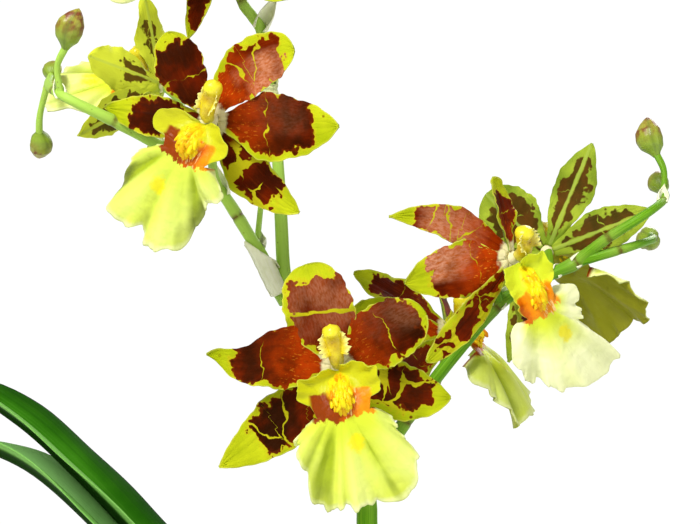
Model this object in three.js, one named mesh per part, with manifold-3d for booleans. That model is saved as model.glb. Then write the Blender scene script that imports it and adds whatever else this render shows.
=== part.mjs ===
// A flowering oncidium orchid growing in a plain clay pot.
// Millimetres, +Z up, +X to the viewer's right, origin at the centre of the pot's foot.
import * as THREE from "three";
import { mergeVertices } from "three/addons/utils/BufferGeometryUtils.js";
import Module from "manifold-3d";

const wasm = await Module();
wasm.setup();

// ---------------------------------------------------------------- pot and bark
const POT_HEIGHT = 122;
const POT_FOOT_RADIUS = 52;
const POT_TOP_RADIUS = 69;
const POT_RIM_RADIUS = 75;
const POT_RIM_HEIGHT = 21;
const POT_WALL = 6;
const POT_FLOOR = 7;
const POT_EDGE = 1.5;
const POT_SIDES = 26;
const DRAIN_RADIUS = 5;
const DRAIN_OFFSET = 26;
const DRAIN_COUNT = 4;
const BARK_TOP = 103;
const BARK_CHIPS = 12;
const CHIP_SIZE = [13, 9, 5];
const CHIP_SPREAD = [6, 49];
const CHIP_TILT = 0.48;
const CHIP_LIFT = 0.6;
const GOLDEN_TURN = 2.39996;

// ---------------------------------------------------------------- clearances and walls
const CLEARANCE = 0.35;
const LIP_CLEARANCE = 0.45;
const BLADE = 0.8;
const LIP_BLADE = 0.9;
const LEAF_BLADE = 1.4;
const SHEATH_WALL = 0.55;
const HUB_RADIUS = 2.6;
const CRUMB = 3;

// ---------------------------------------------------------------- outlines of a blade
// base: width at the root; shoulder: where it is widest; m, k: how blunt the tip is.
const SEPAL = { base: 0.16, shoulder: 0.5, m: 3.2, k: 0.8 };
const PETAL = { base: 0.14, shoulder: 0.56, m: 4.2, k: 0.72 };
const LEAF = { base: 0.32, shoulder: 0.35, m: 3.4, k: 0.9 };
const ROOT_RADIUS = 2;
const TIP_WIDTH = 0.7;
const RIPPLE_LAG = 1.9;
const RIPPLE_START = 0.3;
// A leaf is folded more steeply near its root: its halves rise this far there, in degrees.
const LEAF_ROOT_FOLD = 55;
const LEAF_UNFOLDED = 0.4;

// ---------------------------------------------------------------- blooms
// Each bloom faces along its own n axis, with r to its right and u up its column.
// face and lip.face are yaw, pitch and roll in degrees. Tepal angles run clockwise from u.
// An outline is a list of [angle from straight down, radius]; ears are [across, up] from the neck.
const PLAIN_OUTLINE = [
  [-90, 8.5], [-76, 14], [-66, 18.5], [-56, 19.5], [-48, 21], [-40, 25.5], [-31, 28.5],
  [-22, 28.5], [-12, 27], [0, 26.5], [12, 28.5], [24, 29.5], [34, 28.5], [42, 26],
  [50, 22], [58, 18.5], [68, 17.5], [78, 13], [90, 8.5],
];
const PLAIN_EARS = [
  [[-2, 13], [-5, 12], [-10, 11], [-12, 9], [-12, 6.5], [-10, 4.5], [-8.5, 3.2], [-7.5, 0]],
  [[2, 13], [5, 13], [9, 12.3], [12, 9.5], [12, 6.5], [10.5, 4.2], [8.5, 3.2], [7.5, 0]],
];
const BLOOMS = [
  {
    name: "bloom_centre",
    hub: [-3.4, -28, 400],
    face: [0, 5, -11],
    fine: true,
    tepals: [
      { ...SEPAL, angle: -9, length: 29, width: 20.5, lift: 8, bend: -22, cup: 0.12, sweep: 6,
        base: 0.2, shoulder: 0.42, m: 5, k: 0.45 },
      { ...SEPAL, angle: -126, length: 43.5, width: 19, lift: -10, sweep: 15, m: 2.8, k: 0.85 },
      { ...SEPAL, angle: 130, length: 32.5, width: 18.5, lift: -10, sweep: -30, m: 3.4, k: 0.75 },
      { ...PETAL, angle: -67, length: 36, width: 20, lift: 8, sweep: -12, shoulder: 0.38, m: 2.2, k: 0.75 },
      { ...PETAL, angle: 62, length: 27.5, width: 18.5, lift: 10, bend: -14, sweep: 18,
        shoulder: 0.4, m: 5, k: 0.5 },
    ],
    column: { length: 10.5, forward: 5 },
    lip: {
      face: [0, 0, -11],
      neck: [-1, -13.5, 11],
      half: 7.5,
      outline: [
        [-90, 8], [-76, 13], [-67, 17], [-60, 17.5], [-50, 19.5], [-42, 20.5], [-36, 23],
        [-30, 27.5], [-24, 28], [-14, 27.2], [0, 26.5], [13, 28.5], [23, 29.2], [32, 29],
        [40, 27.2], [48, 24.8], [56, 18.5], [66, 15], [78, 12.3], [90, 8],
      ],
      ears: [
        [[-2, 13], [-5, 12], [-10, 11], [-12, 9.5], [-11.5, 8.3], [-12, 6.5], [-10, 4.5],
          [-8.5, 3.5], [-7.5, 0]],
        [[1.5, 13.5], [4.5, 13.7], [8, 13], [10.5, 11.5], [11.5, 9], [12, 6.5], [10.5, 4.2],
          [8.5, 3.2], [7.5, 0]],
      ],
    },
  },
  {
    name: "bloom_upper_left",
    hub: [-39.2, -28, 470.6],
    face: [-28, -5, 28],
    fine: true,
    tepals: [
      { ...SEPAL, angle: 0, length: 33, width: 16, sweep: 60, shoulder: 0.45, m: 5, k: 0.45 },
      { ...SEPAL, angle: -115, length: 41, width: 14, lift: -10, sweep: 8, m: 3 },
      { ...SEPAL, angle: 128, length: 35, width: 16, lift: -12, sweep: -34, m: 3 },
      { ...PETAL, angle: -62, length: 26.5, width: 17, lift: 8, sweep: 21, m: 5, k: 0.5 },
      { ...PETAL, angle: 72, length: 39, width: 21, sweep: -12, shoulder: 0.45, m: 3, k: 0.7 },
    ],
    column: { length: 11, forward: 5 },
    lip: {
      face: [-24, 0, 26],
      neck: [0.5, -11, 9],
      half: 7.2,
      outline: [
        [-90, 8.5], [-75, 14.5], [-66, 18.5], [-55, 22], [-46, 26], [-40, 29.5], [-33, 30.5],
        [-26, 29.5], [-19, 27.5], [-14, 26.2], [-9, 27.5], [0, 28.5], [8, 28.7], [15, 26.8],
        [22, 24.5], [27, 21], [36, 17.5], [46, 14.5], [56, 15.8], [66, 15.5], [76, 12], [90, 8],
      ],
      ears: [
        [[-3, 10.5], [-6.5, 11.5], [-9.5, 10.7], [-12.5, 8.5], [-13, 5.5], [-11, 3.5], [-8, 3.3],
          [-7.2, 0]],
        [[3, 12], [6.5, 12], [9, 10], [12, 8.7], [13, 6.5], [12, 4.3], [9.5, 2.5], [7.2, 0]],
      ],
    },
  },
  {
    name: "bloom_right",
    hub: [46.8, -22, 431.2],
    face: [42, 3, -22],
    fine: true,
    tepals: [
      { ...SEPAL, angle: -25, length: 38, width: 13, lift: -25, sweep: -47, m: 2.4, k: 0.9 },
      { ...SEPAL, angle: -123, length: 38.5, width: 10, lift: -15, sweep: 15, m: 5, k: 0.6 },
      { ...SEPAL, angle: 165, length: 28, width: 10, lift: -20, sweep: 12, m: 2.6, k: 0.9 },
      { ...PETAL, angle: -79, length: 31.5, width: 17.5, lift: -28, sweep: -3, shoulder: 0.4,
        m: 3, k: 0.7 },
      { ...PETAL, angle: 14, length: 22, width: 15, lift: -8, turn: -22, cup: 0.2, m: 4, k: 0.6 },
    ],
    column: { length: 8, forward: 6 },
    lip: {
      face: [20, -5, -33],
      neck: [-5, -14.5, 10],
      half: 5,
      outline: [
        [-85, 7], [-75, 11], [-66, 13.8], [-58, 16], [-49, 18], [-40, 20], [-33, 21.5],
        [-26, 21.2], [-18, 23.5], [-11, 26], [-4, 27], [3, 27.8], [10, 28.8], [17, 30],
        [24, 31.2], [29, 31.4], [33, 27], [37, 18.5], [41, 15.2], [50, 13.8], [62, 13.5],
        [74, 13.6], [85, 13.6], [95, 11.5], [108, 7],
      ],
      ears: [
        [[-3, 15.5], [-5.5, 12], [-6, 7.5], [-6.3, 4], [-6, 2], [-5, 0]],
        [[2, 14], [5, 15.5], [8.5, 13.5], [9, 9.5], [7.8, 6.5], [6, 5], [5, 0]],
      ],
    },
  },
  {
    name: "bloom_right_back",
    hub: [60.6, 15, 433.1],
    face: [158, 0, 37],
    tepals: [
      { ...SEPAL, angle: 9, length: 24, width: 19, lift: -8, m: 5, k: 0.45 },
      { ...SEPAL, angle: -106, length: 33, width: 15, lift: 2 },
      { ...SEPAL, angle: 125, length: 34, width: 14, lift: -8, m: 2.6, k: 0.9 },
      { ...PETAL, angle: -59, length: 34, width: 15, lift: 5, wave: 0.2, m: 3, k: 0.7 },
      { ...PETAL, angle: 70, length: 34, width: 17, lift: 5, m: 3, k: 0.7 },
    ],
    column: { length: 11, forward: 5 },
    lip: { face: [150, 48, 32], neck: [0, -9, 12], half: 7.5, scale: 0.9 },
  },
  {
    name: "bloom_centre_back",
    hub: [29.8, 14, 407.9],
    face: [66, 5, -15],
    tepals: [
      { ...SEPAL, angle: -10, length: 33, width: 17, lift: -45, sweep: -20, m: 3, k: 0.7 },
      { ...SEPAL, angle: -115, length: 34, width: 17, lift: -30, m: 3, k: 0.7 },
      { ...SEPAL, angle: 160, length: 33, width: 12, lift: -28, m: 2.6, k: 0.9 },
      { ...PETAL, angle: -60, length: 34, width: 17, lift: -35, m: 4, k: 0.5 },
      { ...PETAL, angle: 60, length: 30, width: 17, lift: -20, m: 3, k: 0.7 },
    ],
    column: { length: 11, forward: 5 },
    lip: { face: [70, 48, -14], neck: [1, -5, 9], half: 7.5, sag: -6, scale: 0.95 },
  },
  {
    name: "bloom_left_back",
    hub: [-59.3, 24, 484.9],
    face: [-100, 0, 10],
    tepals: [
      { ...SEPAL, angle: 0, length: 26, width: 12, lift: 8, turn: 65, twist: -30, wave: 0.2 },
      { ...SEPAL, angle: -135, length: 32, width: 13, lift: 20 },
      { ...SEPAL, angle: 115, length: 33, width: 15, lift: 35 },
      { ...PETAL, angle: -65, length: 26, width: 16, lift: -10, turn: 20 },
      { ...PETAL, angle: 60, length: 26, width: 16, lift: 40 },
    ],
    column: { length: 11, forward: 5 },
    lip: { face: [0, 52, 95], neck: [-3, 2, 13.5], half: 7.5, scale: 0.85 },
  },
  {
    name: "bloom_top_front",
    hub: [-37.6, -12, 530],
    face: [-15, 0, 78],
    tepals: [
      { ...SEPAL, angle: 0, length: 30, width: 17, lift: -8 },
      { ...SEPAL, angle: -125, length: 34, width: 15, lift: -5 },
      { ...SEPAL, angle: 122, length: 34, width: 10, lift: -8 },
      { ...PETAL, angle: -70, length: 32, width: 18, lift: 5 },
      { ...PETAL, angle: 60, length: 30, width: 18, lift: 5 },
    ],
    column: { length: 11, forward: 5 },
    lip: { face: [-15, 0, 78], neck: [0, -13, 11], half: 7.5 },
  },
  {
    name: "bloom_top_right",
    hub: [-14, 12, 557],
    face: [120, -4, 8],
    tepals: [
      { ...SEPAL, angle: 4, length: 30, width: 17, lift: -6, sweep: 10 },
      { ...SEPAL, angle: -120, length: 33, width: 15, lift: -10 },
      { ...SEPAL, angle: 122, length: 33, width: 15, lift: -8, sweep: -12 },
      { ...PETAL, angle: -66, length: 31, width: 18, lift: 6, sweep: -8 },
      { ...PETAL, angle: 64, length: 30, width: 18, lift: 4 },
    ],
    column: { length: 11, forward: 5 },
    lip: { face: [120, 6, 8], neck: [0, -13, 11], half: 7.5 },
  },
  {
    name: "bloom_top_left",
    hub: [-64, 18, 580],
    face: [-75, 4, -10],
    tepals: [
      { ...SEPAL, angle: -4, length: 30, width: 17, lift: 4, bend: -18 },
      { ...SEPAL, angle: -124, length: 33, width: 15, lift: -8, sweep: 10 },
      { ...SEPAL, angle: 118, length: 33, width: 14, lift: -10 },
      { ...PETAL, angle: -64, length: 30, width: 18, lift: 6 },
      { ...PETAL, angle: 68, length: 31, width: 18, lift: 8, sweep: 10 },
    ],
    column: { length: 11, forward: 5 },
    lip: { face: [-75, 8, -10], neck: [0, -13, 11], half: 7.5 },
  },
];

// ---------------------------------------------------------------- lip and column
// The claw leaves the hub at LIP_ROOT, arches by LIP_BULGE, and its ears stand forward and are cupped.
const LIP_ROOT = [0, -1.5, 3];
const LIP_BULGE = 4;
const EAR_FORWARD = 1;
const EAR_CUP = 2.5;
const EAR_DROP = 0.65;
// The front lobe is pleated into LIP_FOLDS waves of LIP_FOLD height at its rim.
const LIP_FOLD = 2.2;
const LIP_FOLDS = 3;
// A wart of the crest stands on the lip's grid: [row, column, radius].
const CREST_WARTS = [[1, 5, 1.8], [2, 4, 1.7], [3, 5, 2]];
// Along the column: [part of its length, part of its forward reach, more forward, radius].
const COLUMN_AXIS = [
  [0.05, 0, 3.3, 1.3], [0.4, 0.9, 1.3, 2], [0.7, 1, 1.5, 2.2], [0.92, 1, 2.2, 2.7], [1.05, 1, 3, 1.4],
];
// A wing's inner and outer edge: [across, part of the column's length, more forward].
const WING_INNER = [[1.2, 0.48, 1.5], [1.2, 0.64, 1.5], [1.2, 0.8, 1.5]];
const WING_OUTER = [[4.2, 0.46, 2.6], [4.8, 0.64, 3], [3.4, 0.82, 2.8]];

// ---------------------------------------------------------------- stems
// A stem is a list of [x, y, z, radius] along its middle.
const MAIN_STEM = [
  [12, 0, 112, 3.4], [13, -14, 122, 3.6], [13, -19, 145, 3.6], [13, -17, 185, 3.5], [12, -9, 240, 3.4],
  [9, -3, 300, 3.3], [5.4, 0, 346.6, 3.2], [4.8, 1, 358.5, 3], [0.6, 3, 376.4, 2.7],
  [-9.7, 4, 400.4, 2.3], [-17.8, 3, 417, 2.1], [-19.9, 3, 427.6, 2.05], [-20.8, 4, 443.6, 1.95],
  [-22.1, 5, 463.9, 1.7], [-24.8, 5, 485.1, 1.7], [-26.6, 5, 499.3, 1.7], [-29.6, 5, 504.4, 1.6],
  [-33.3, 5, 510.5, 1.5], [-38, 6, 530, 1.5], [-42, 7, 552, 1.4], [-43, 7, 575, 1.2], [-41, 6, 592, 1],
];
const LEFT_BRANCH = [
  [-19.6, 2.4, 417.6, 1.8], [-22.5, 1, 423.1, 1.9], [-26.4, 0, 431.5, 2], [-29.4, 0, 436.6, 1.8],
  [-39.3, 0, 451.9, 1.75], [-48.1, 0, 458.5, 1.7], [-56.1, 0, 464.2, 1.7], [-68.5, -4, 471.1, 1.7],
  [-81.7, -6, 477.5, 1.5], [-88, -2, 481, 1.4], [-92, 9, 484, 1.2], [-93, 22, 488, 1],
];
const RIGHT_BRANCH = [
  [3.4, 1.4, 362, 2.2], [9, 0, 370, 2.1], [15.5, -2, 380.7, 2], [23.9, -3, 393, 1.95],
  [34.6, -3, 406.4, 1.9], [44.8, -3, 417.8, 1.9], [53.8, -3, 423.2, 1.85], [61.6, -2.5, 427, 1.8],
  [67.9, -2, 430, 2], [75.7, -6, 436.5, 1.5], [85.7, -9, 443, 1.4], [92, -4, 447, 1.2],
  [96, 8, 450, 1.1], [97, 21, 453, 1],
];
const RIGHT_FORK = [
  [67.9, -2, 430, 1.7], [76.2, -5, 432.4, 1.4], [86, -4, 435.3, 1.2], [92, 6, 437, 1.1], [93, 19, 438, 1],
];
const PEDICELS = [
  [[-39.3, 0, 451.9, 1.6], [-40.5, -8, 457, 1.5], [-40, -18, 464, 1.4], [-37.9, -25.2, 470.6, 1.3]],
  [[-8.5, 4, 398, 1.6], [-7, -8, 399, 1.4], [-4, -26, 399.8, 1.3]],
  [[44.8, -3, 417.8, 1.6], [43, -9, 424, 1.5], [44.2, -17, 429.4, 1.4], [45.8, -21, 431, 1.3]],
  [[61.6, -2.5, 427, 1.5], [60.5, 5, 429, 1.4], [60.8, 13.6, 432.8, 1.3]],
  [[18.5, -2.4, 385, 1.5], [17, 5, 395, 1.4], [21, 11.5, 404, 1.4], [28.2, 13.8, 407.6, 1.3]],
  [[-56.1, 0, 464.2, 1.5], [-52, 10, 471, 1.4], [-53, 20, 480, 1.4], [-57.9, 23.8, 484.8, 1.3]],
  [[-36, 5.8, 521, 1.4], [-37.2, 0, 526, 1.3], [-37.3, -10.4, 529.8, 1.2]],
  [[-42, 7, 552, 1.3], [-30, 5, 553, 1.2], [-15.4, 11.3, 556.8, 1.2]],
  [[-42.6, 7, 562, 1.3], [-52, 13, 571, 1.2], [-62.4, 18.2, 579.8, 1.2]],
  [[-27.9, 0.4, 435.7, 1], [-27.4, 8, 444.3, 0.95], [-27, 14, 452, 0.9], [-27, 17, 457, 0.9]],
  [[-43, 7, 574, 1.1], [-37, 3, 581, 1], [-33, -1, 587, 1]],
  [[-42.6, 6.8, 582, 1], [-38, 12, 589, 1], [-35, 16, 594, 1]],
  [[-86, -4, 479.8, 1.2], [-87, -6, 488, 1], [-84, -8, 494, 1]],
  [[-92.2, 10, 484.4, 1.2], [-95, 14, 476, 1], [-96, 18, 470, 1]],
  [[94, 2, 448.4, 1.1], [95, 5, 457, 1], [93, 8, 463, 1]],
];
// A bud is [x, y, z of its root, then the way it points, length, radius].
const BUDS = [
  [-27, 16.5, 456, 0, 0.5, 1, 11, 3],
  [-41, 6, 591, -0.1, -0.2, 1, 12, 3.4],
  [-33.4, -0.6, 586.4, 0.4, -0.5, 1, 13, 4],
  [-35.4, 15.6, 593.4, 0.4, 0.5, 1, 11, 3.4],
  [-84.4, -7.8, 493, 0.4, -0.3, 1, 13, 4.2],
  [-95.8, 17.6, 470.8, -0.1, 0.5, -0.6, 11, 3.6],
  [-93, 21, 487.6, 0.1, 1, 0.5, 10, 3],
  [93.2, 7.6, 462, -0.2, 0.3, 1, 13, 4.2],
  [97, 20, 452.8, 0, 1, 0.4, 11, 3.4],
  [93, 18, 437.9, 0, 1, 0, 12, 3.8],
];
// The outline of a bud or a bract: [part of its radius, part of its length].
const BUD_PROFILE = [[0, -0.12], [1, 0.36], [0.78, 0.72], [0, 1]];
// A bract is a pointed scale at a joint: [x, y, z, way it points, length, radius].
const BRACTS = [
  [-38, 0, 450, -0.25, -0.1, 1, 13, 2.2],
  [44, -3, 417, 0.5, -0.3, 1, 11, 2.2],
  [67, -2, 429.6, 0.7, -0.4, 1, 13, 2.2],
];
// A sheath wraps a stem between two places along it, given as fractions of its length.
const SHEATHS = [
  { stem: MAIN_STEM, from: 0.16, to: 0.25 },
  { stem: MAIN_STEM, from: 0.31, to: 0.38 },
  { stem: MAIN_STEM, from: 0.43, to: 0.485 },
  { stem: LEFT_BRANCH, from: 0.055, to: 0.16 },
  { stem: MAIN_STEM, from: 0.755, to: 0.785 },
];

// ---------------------------------------------------------------- pseudobulbs, rhizome and roots
// A bulb is [x, y, height, width, thickness, turn in degrees].
const BULB_BASE = 106;
const BULBS = [
  [-40, 21, 56, 27, 16, 12],
  [-21, 0, 77, 35, 18, -6],
  [18, 3, 80, 37, 20, 5],
  [43, 18, 50, 25, 15, 14],
  [0, 31, 62, 31, 16, -12],
];
const BULB_SIDES = 10;
const BULB_PROFILE = [
  [0, 0], [0.62, 0.03], [0.92, 0.2], [1, 0.38], [0.92, 0.58], [0.68, 0.78], [0.3, 0.95], [0, 1],
];
const RHIZOME = [
  [-50, 26, 106, 4], [-40, 20, 108, 5.5], [-21, 3, 108, 6.5], [0, 1, 108, 6.5], [18, 5, 108, 6.5],
  [42, 17, 108, 5.5], [51, 21, 107, 4],
];
const RHIZOME_BRANCH = [[2, 2, 108, 6], [1, 18, 108, 6], [0, 31, 108, 5.5], [0, 39, 108, 3.5]];
const ROOTS = [
  [[-34, 12, 106, 1.9], [-44, -8, 111, 1.9], [-42, -24, 109.5, 1.8], [-34, -36, 100, 1.5]],
  [[30, 8, 106, 2], [36, -14, 112, 2], [42, -26, 109, 1.8], [42, -30, 99, 1.5]],
  [[0, 2, 106, 1.8], [-4, -22, 112, 1.8], [4, -40, 109, 1.7], [8, -47, 99, 1.5]],
  [[-26, 8, 106, 1.8], [-24, 32, 111, 1.8], [-26, 44, 107, 1.6], [-26, 46, 99, 1.4]],
];

// ---------------------------------------------------------------- leaves
// path: the keel from root to tip; fold: how far the halves rise, in degrees; rise: the way the hollow faces.
const LEAVES = [
  { width: 33, fold: 26, rise: [1, -0.25, 1],
    path: [[-19.5, 1, 177], [-22, 0, 225], [-27, -1, 268], [-37, -2, 304.5], [-51, -2, 332.5], [-67, -2, 350.8],
      [-82, -1, 366.2], [-100, 2, 381.8], [-121, 8, 392.8], [-143, 16, 391.8], [-162, 26, 377]] },
  { width: 31, fold: 26, rise: [1, -0.25, 1],
    path: [[-23.5, 1, 176], [-29.5, 0, 222], [-37, -1, 260], [-47, -2, 295], [-58, -2, 321], [-69, -1, 341.5],
      [-82, 0, 356], [-99, 4, 368.7], [-118, 12, 373.7], [-137, 22, 368.7], [-152, 32, 352]] },
  { width: 35, fold: 22, rise: [0, 0, 1],
    path: [[19, 5, 184], [32, 8, 232], [57, 12, 278], [94, 16, 306], [132, 20, 308], [168, 24, 290],
      [192, 28, 262]] },
  { width: 34, fold: 22, rise: [0, 0, 1],
    path: [[10, 8, 184], [2, 26, 232], [-10, 54, 276], [-26, 90, 300], [-42, 128, 300], [-56, 162, 280],
      [-66, 186, 252]] },
  { width: 32, fold: 26, rise: [0, 0, 1],
    path: [[35, -4, 101], [51, -16, 156], [78, -32, 204], [112, -52, 234], [146, -72, 238], [176, -88, 218]] },
  { width: 33, fold: 24, rise: [0, 0, 1],
    path: [[-6, -14, 101], [-13, -33, 156], [-24, -68, 206], [-38, -106, 234], [-50, -144, 236],
      [-60, -178, 214]] },
  { width: 31, fold: 24, rise: [0, 0, 1],
    path: [[-3, 33, 166], [8, 52, 212], [26, 82, 250], [50, 116, 270], [76, 150, 266], [98, 178, 242]] },
  { width: 28, fold: 28, rise: [0, 0, 1],
    path: [[43.5, 18.5, 149], [60, 25, 200], [86, 38, 240], [116, 52, 262], [148, 66, 258], [176, 78, 234]] },
  { width: 32, fold: 26, rise: [0, 0, 1],
    path: [[-33, -10, 101], [-56, -20, 154], [-88, -36, 200], [-122, -52, 226], [-156, -66, 226],
      [-184, -78, 202]] },
];

// ---------------------------------------------------------------- colours
const CLAY = 0xb5654a;
const BARK = 0x4a3524;
const ROOT_GREEN = 0xa9ab8c;
const BULB_GREEN = 0x7d9a45;
const LEAF_GREEN = 0x2f5a2c;
const STEM_GREEN = 0x8a9c3e;
const STRAW = 0xc9b98c;
const TEPAL_BROWN = 0x6b2a1c;
const LIP_YELLOW = 0xe3e36a;
const COLUMN_YELLOW = 0xd9c640;

const degrees = THREE.MathUtils.degToRad;
const smooth = (x) => THREE.MathUtils.smoothstep(x, 0, 1);
const root = new THREE.Group();
root.name = "oncidium_orchid";

// ---------------------------------------------------------------- solids
function positionOnly(geometry) {
  const bare = geometry.clone();
  bare.deleteAttribute("normal");
  bare.deleteAttribute("uv");
  return mergeVertices(bare, 1e-3);
}

function solidOf(geometry) {
  const merged = positionOnly(geometry);
  const mesh = new wasm.Mesh({
    numProp: 3,
    vertProperties: new Float32Array(merged.attributes.position.array),
    triVerts: new Uint32Array(merged.index.array),
  });
  const solid = new wasm.Manifold(mesh);
  if (solid.volume() < 0) {
    throw new Error("a surface faces inwards");
  }
  return solid;
}

function geometryOf(solid) {
  const mesh = solid.getMesh();
  const positions = new Float32Array(mesh.numVert * 3);
  for (let i = 0; i < mesh.numVert; i += 1) {
    positions.set(mesh.vertProperties.subarray(i * mesh.numProp, i * mesh.numProp + 3), i * 3);
  }
  const geometry = new THREE.BufferGeometry();
  geometry.setAttribute("position", new THREE.BufferAttribute(positions, 3));
  geometry.setIndex(new THREE.BufferAttribute(new Uint32Array(mesh.triVerts), 1));
  geometry.computeVertexNormals();
  return geometry;
}

// The main piece of a solid that its neighbours have trimmed.
function mainPiece(name, solid) {
  const pieces = solid.decompose().sort((a, b) => b.volume() - a.volume());
  if (!pieces.length) {
    throw new Error(name + " is empty");
  }
  for (const piece of pieces.slice(1)) {
    if (piece.volume() > Math.max(CRUMB, 0.04 * pieces[0].volume())) {
      throw new Error(name + " is cut in two: " + piece.volume().toFixed(1) + " mm3 comes off");
    }
  }
  return pieces[0];
}

function joined(solids) {
  return solids.reduce((whole, piece) => whole.add(piece));
}

function meetsBox(a, b) {
  const one = a.boundingBox();
  const two = b.boundingBox();
  return [0, 1, 2].every((i) => one.min[i] <= two.max[i] && two.min[i] <= one.max[i]);
}

function trimmed(name, solid, obstacles) {
  let left = solid;
  for (const obstacle of obstacles) {
    if (meetsBox(left, obstacle)) {
      left = left.subtract(obstacle);
    }
  }
  return mainPiece(name, left);
}

function addNode(parent, name, solid, color, roughness) {
  const material = new THREE.MeshStandardMaterial({ color, roughness, metalness: 0 });
  const mesh = new THREE.Mesh(geometryOf(solid), material);
  mesh.name = name;
  parent.add(mesh);
}

function moved(solid, group) {
  group.updateMatrixWorld(true);
  return solid.transform(group.matrixWorld.elements);
}

// ---------------------------------------------------------------- surfaces
// Pushes the end of a line of points out along the line.
function lengthen(end, inner, grow) {
  const way = end.clone().sub(inner);
  if (way.length() > 1e-3) {
    end.addScaledVector(way.normalize(), grow);
  }
}

// A thin closed blade from rows of points: the same grid on both faces, walls round the edge.
function blade(rows, wall, grow = 0) {
  const down = rows.length;
  const across = rows[0].length;
  const thickness = wall + 2 * grow;
  if (grow) {
    for (const row of rows) {
      lengthen(row[0], row[1], grow);
      lengthen(row[across - 1], row[across - 2], grow);
    }
    for (let j = 0; j < across; j += 1) {
      lengthen(rows[0][j], rows[1][j], grow);
      lengthen(rows[down - 1][j], rows[down - 2][j], grow);
    }
  }
  const points = [[], []];
  const alongRow = new THREE.Vector3();
  const alongColumn = new THREE.Vector3();
  for (let i = 0; i < down; i += 1) {
    for (let j = 0; j < across; j += 1) {
      alongRow.subVectors(rows[i][Math.min(j + 1, across - 1)], rows[i][Math.max(j - 1, 0)]);
      alongColumn.subVectors(rows[Math.min(i + 1, down - 1)][j], rows[Math.max(i - 1, 0)][j]);
      const normal = new THREE.Vector3().crossVectors(alongRow, alongColumn).normalize();
      for (const side of [0, 1]) {
        const offset = thickness * (side ? -0.5 : 0.5);
        points[side].push(rows[i][j].clone().addScaledVector(normal, offset));
      }
    }
  }
  const vertices = [...points[0], ...points[1]];
  const index = [];
  const front = (i, j) => i * across + j;
  const back = (i, j) => down * across + i * across + j;
  const edge = (a, b, c, d) => index.push(a, b, c, a, c, d);
  for (let i = 0; i < down - 1; i += 1) {
    for (let j = 0; j < across - 1; j += 1) {
      index.push(front(i, j), front(i, j + 1), front(i + 1, j + 1));
      index.push(front(i, j), front(i + 1, j + 1), front(i + 1, j));
      index.push(back(i, j), back(i + 1, j + 1), back(i, j + 1));
      index.push(back(i, j), back(i + 1, j), back(i + 1, j + 1));
    }
  }
  for (let j = 0; j < across - 1; j += 1) {
    edge(front(0, j), back(0, j), back(0, j + 1), front(0, j + 1));
    edge(front(down - 1, j + 1), back(down - 1, j + 1), back(down - 1, j), front(down - 1, j));
  }
  for (let i = 0; i < down - 1; i += 1) {
    edge(front(i + 1, 0), back(i + 1, 0), back(i, 0), front(i, 0));
    edge(front(i, across - 1), back(i, across - 1), back(i + 1, across - 1), front(i + 1, across - 1));
  }
  const geometry = new THREE.BufferGeometry().setFromPoints(vertices);
  geometry.setIndex(index);
  return solidOf(geometry);
}

// A round stem along points of [x, y, z, radius].
function stem(stations, sides, rings, grow = 0, from = 0, to = 1) {
  const curve = new THREE.CatmullRomCurve3(
    stations.map(([x, y, z]) => new THREE.Vector3(x, y, z)), false, "catmullrom", 0.5);
  const frames = curve.computeFrenetFrames(rings);
  const vertices = [];
  const index = [];
  for (let i = 0; i <= rings; i += 1) {
    const place = from + (to - from) * i / rings;
    const middle = curve.getPointAt(place);
    const station = curve.getUtoTmapping(place) * (stations.length - 1);
    const low = Math.min(Math.floor(station), stations.length - 2);
    const radius = THREE.MathUtils.lerp(stations[low][3], stations[low + 1][3], station - low) + grow;
    const tangent = curve.getTangentAt(place);
    const side = frames.normals[Math.min(rings, Math.round(place * rings))].clone();
    side.addScaledVector(tangent, -side.dot(tangent)).normalize();
    const other = new THREE.Vector3().crossVectors(tangent, side);
    for (let j = 0; j < sides; j += 1) {
      const angle = 2 * Math.PI * j / sides;
      vertices.push(middle.clone()
        .addScaledVector(side, radius * Math.cos(angle))
        .addScaledVector(other, radius * Math.sin(angle)));
    }
  }
  const first = vertices.length;
  vertices.push(curve.getPointAt(from), curve.getPointAt(to));
  for (let j = 0; j < sides; j += 1) {
    const next = (j + 1) % sides;
    index.push(first, next, j);
    index.push(first + 1, rings * sides + j, rings * sides + next);
    for (let i = 0; i < rings; i += 1) {
      const a = i * sides + j;
      const b = i * sides + next;
      index.push(a, b, b + sides, a, b + sides, a + sides);
    }
  }
  const geometry = new THREE.BufferGeometry().setFromPoints(vertices);
  geometry.setIndex(index);
  return solidOf(geometry);
}

// A bud or a bract: a pointed body turned about the way it grows.
function pointedBody([x, y, z, wayX, wayY, wayZ, length, radius], sides) {
  const turned = new THREE.LatheGeometry(
    BUD_PROFILE.map(([across, along]) => new THREE.Vector2(across * radius, along * length)), sides);
  const holder = new THREE.Object3D();
  const way = new THREE.Vector3(wayX, wayY, wayZ).normalize();
  holder.quaternion.setFromUnitVectors(new THREE.Vector3(0, 1, 0), way);
  holder.position.set(x, y, z);
  holder.updateMatrix();
  return solidOf(turned.applyMatrix4(holder.matrix));
}

// ---------------------------------------------------------------- parts of a bloom
// The bloom's own axes r, u and n lie along +X, +Z and -Y of its group.
const inBloom = (r, u, n) => new THREE.Vector3(r, -n, u);

function turnOf([yaw, pitch, roll]) {
  return new THREE.Quaternion().setFromEuler(
    new THREE.Euler(degrees(-pitch), degrees(roll), degrees(yaw), "ZXY"));
}

function halfWidth(shape, place) {
  const { width, base, shoulder, m, k } = shape;
  const opening = base + (1 - base) * smooth(place / shoulder);
  return Math.max(width / 2 * opening * (1 - place ** m) ** k, TIP_WIDTH / 2);
}

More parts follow.
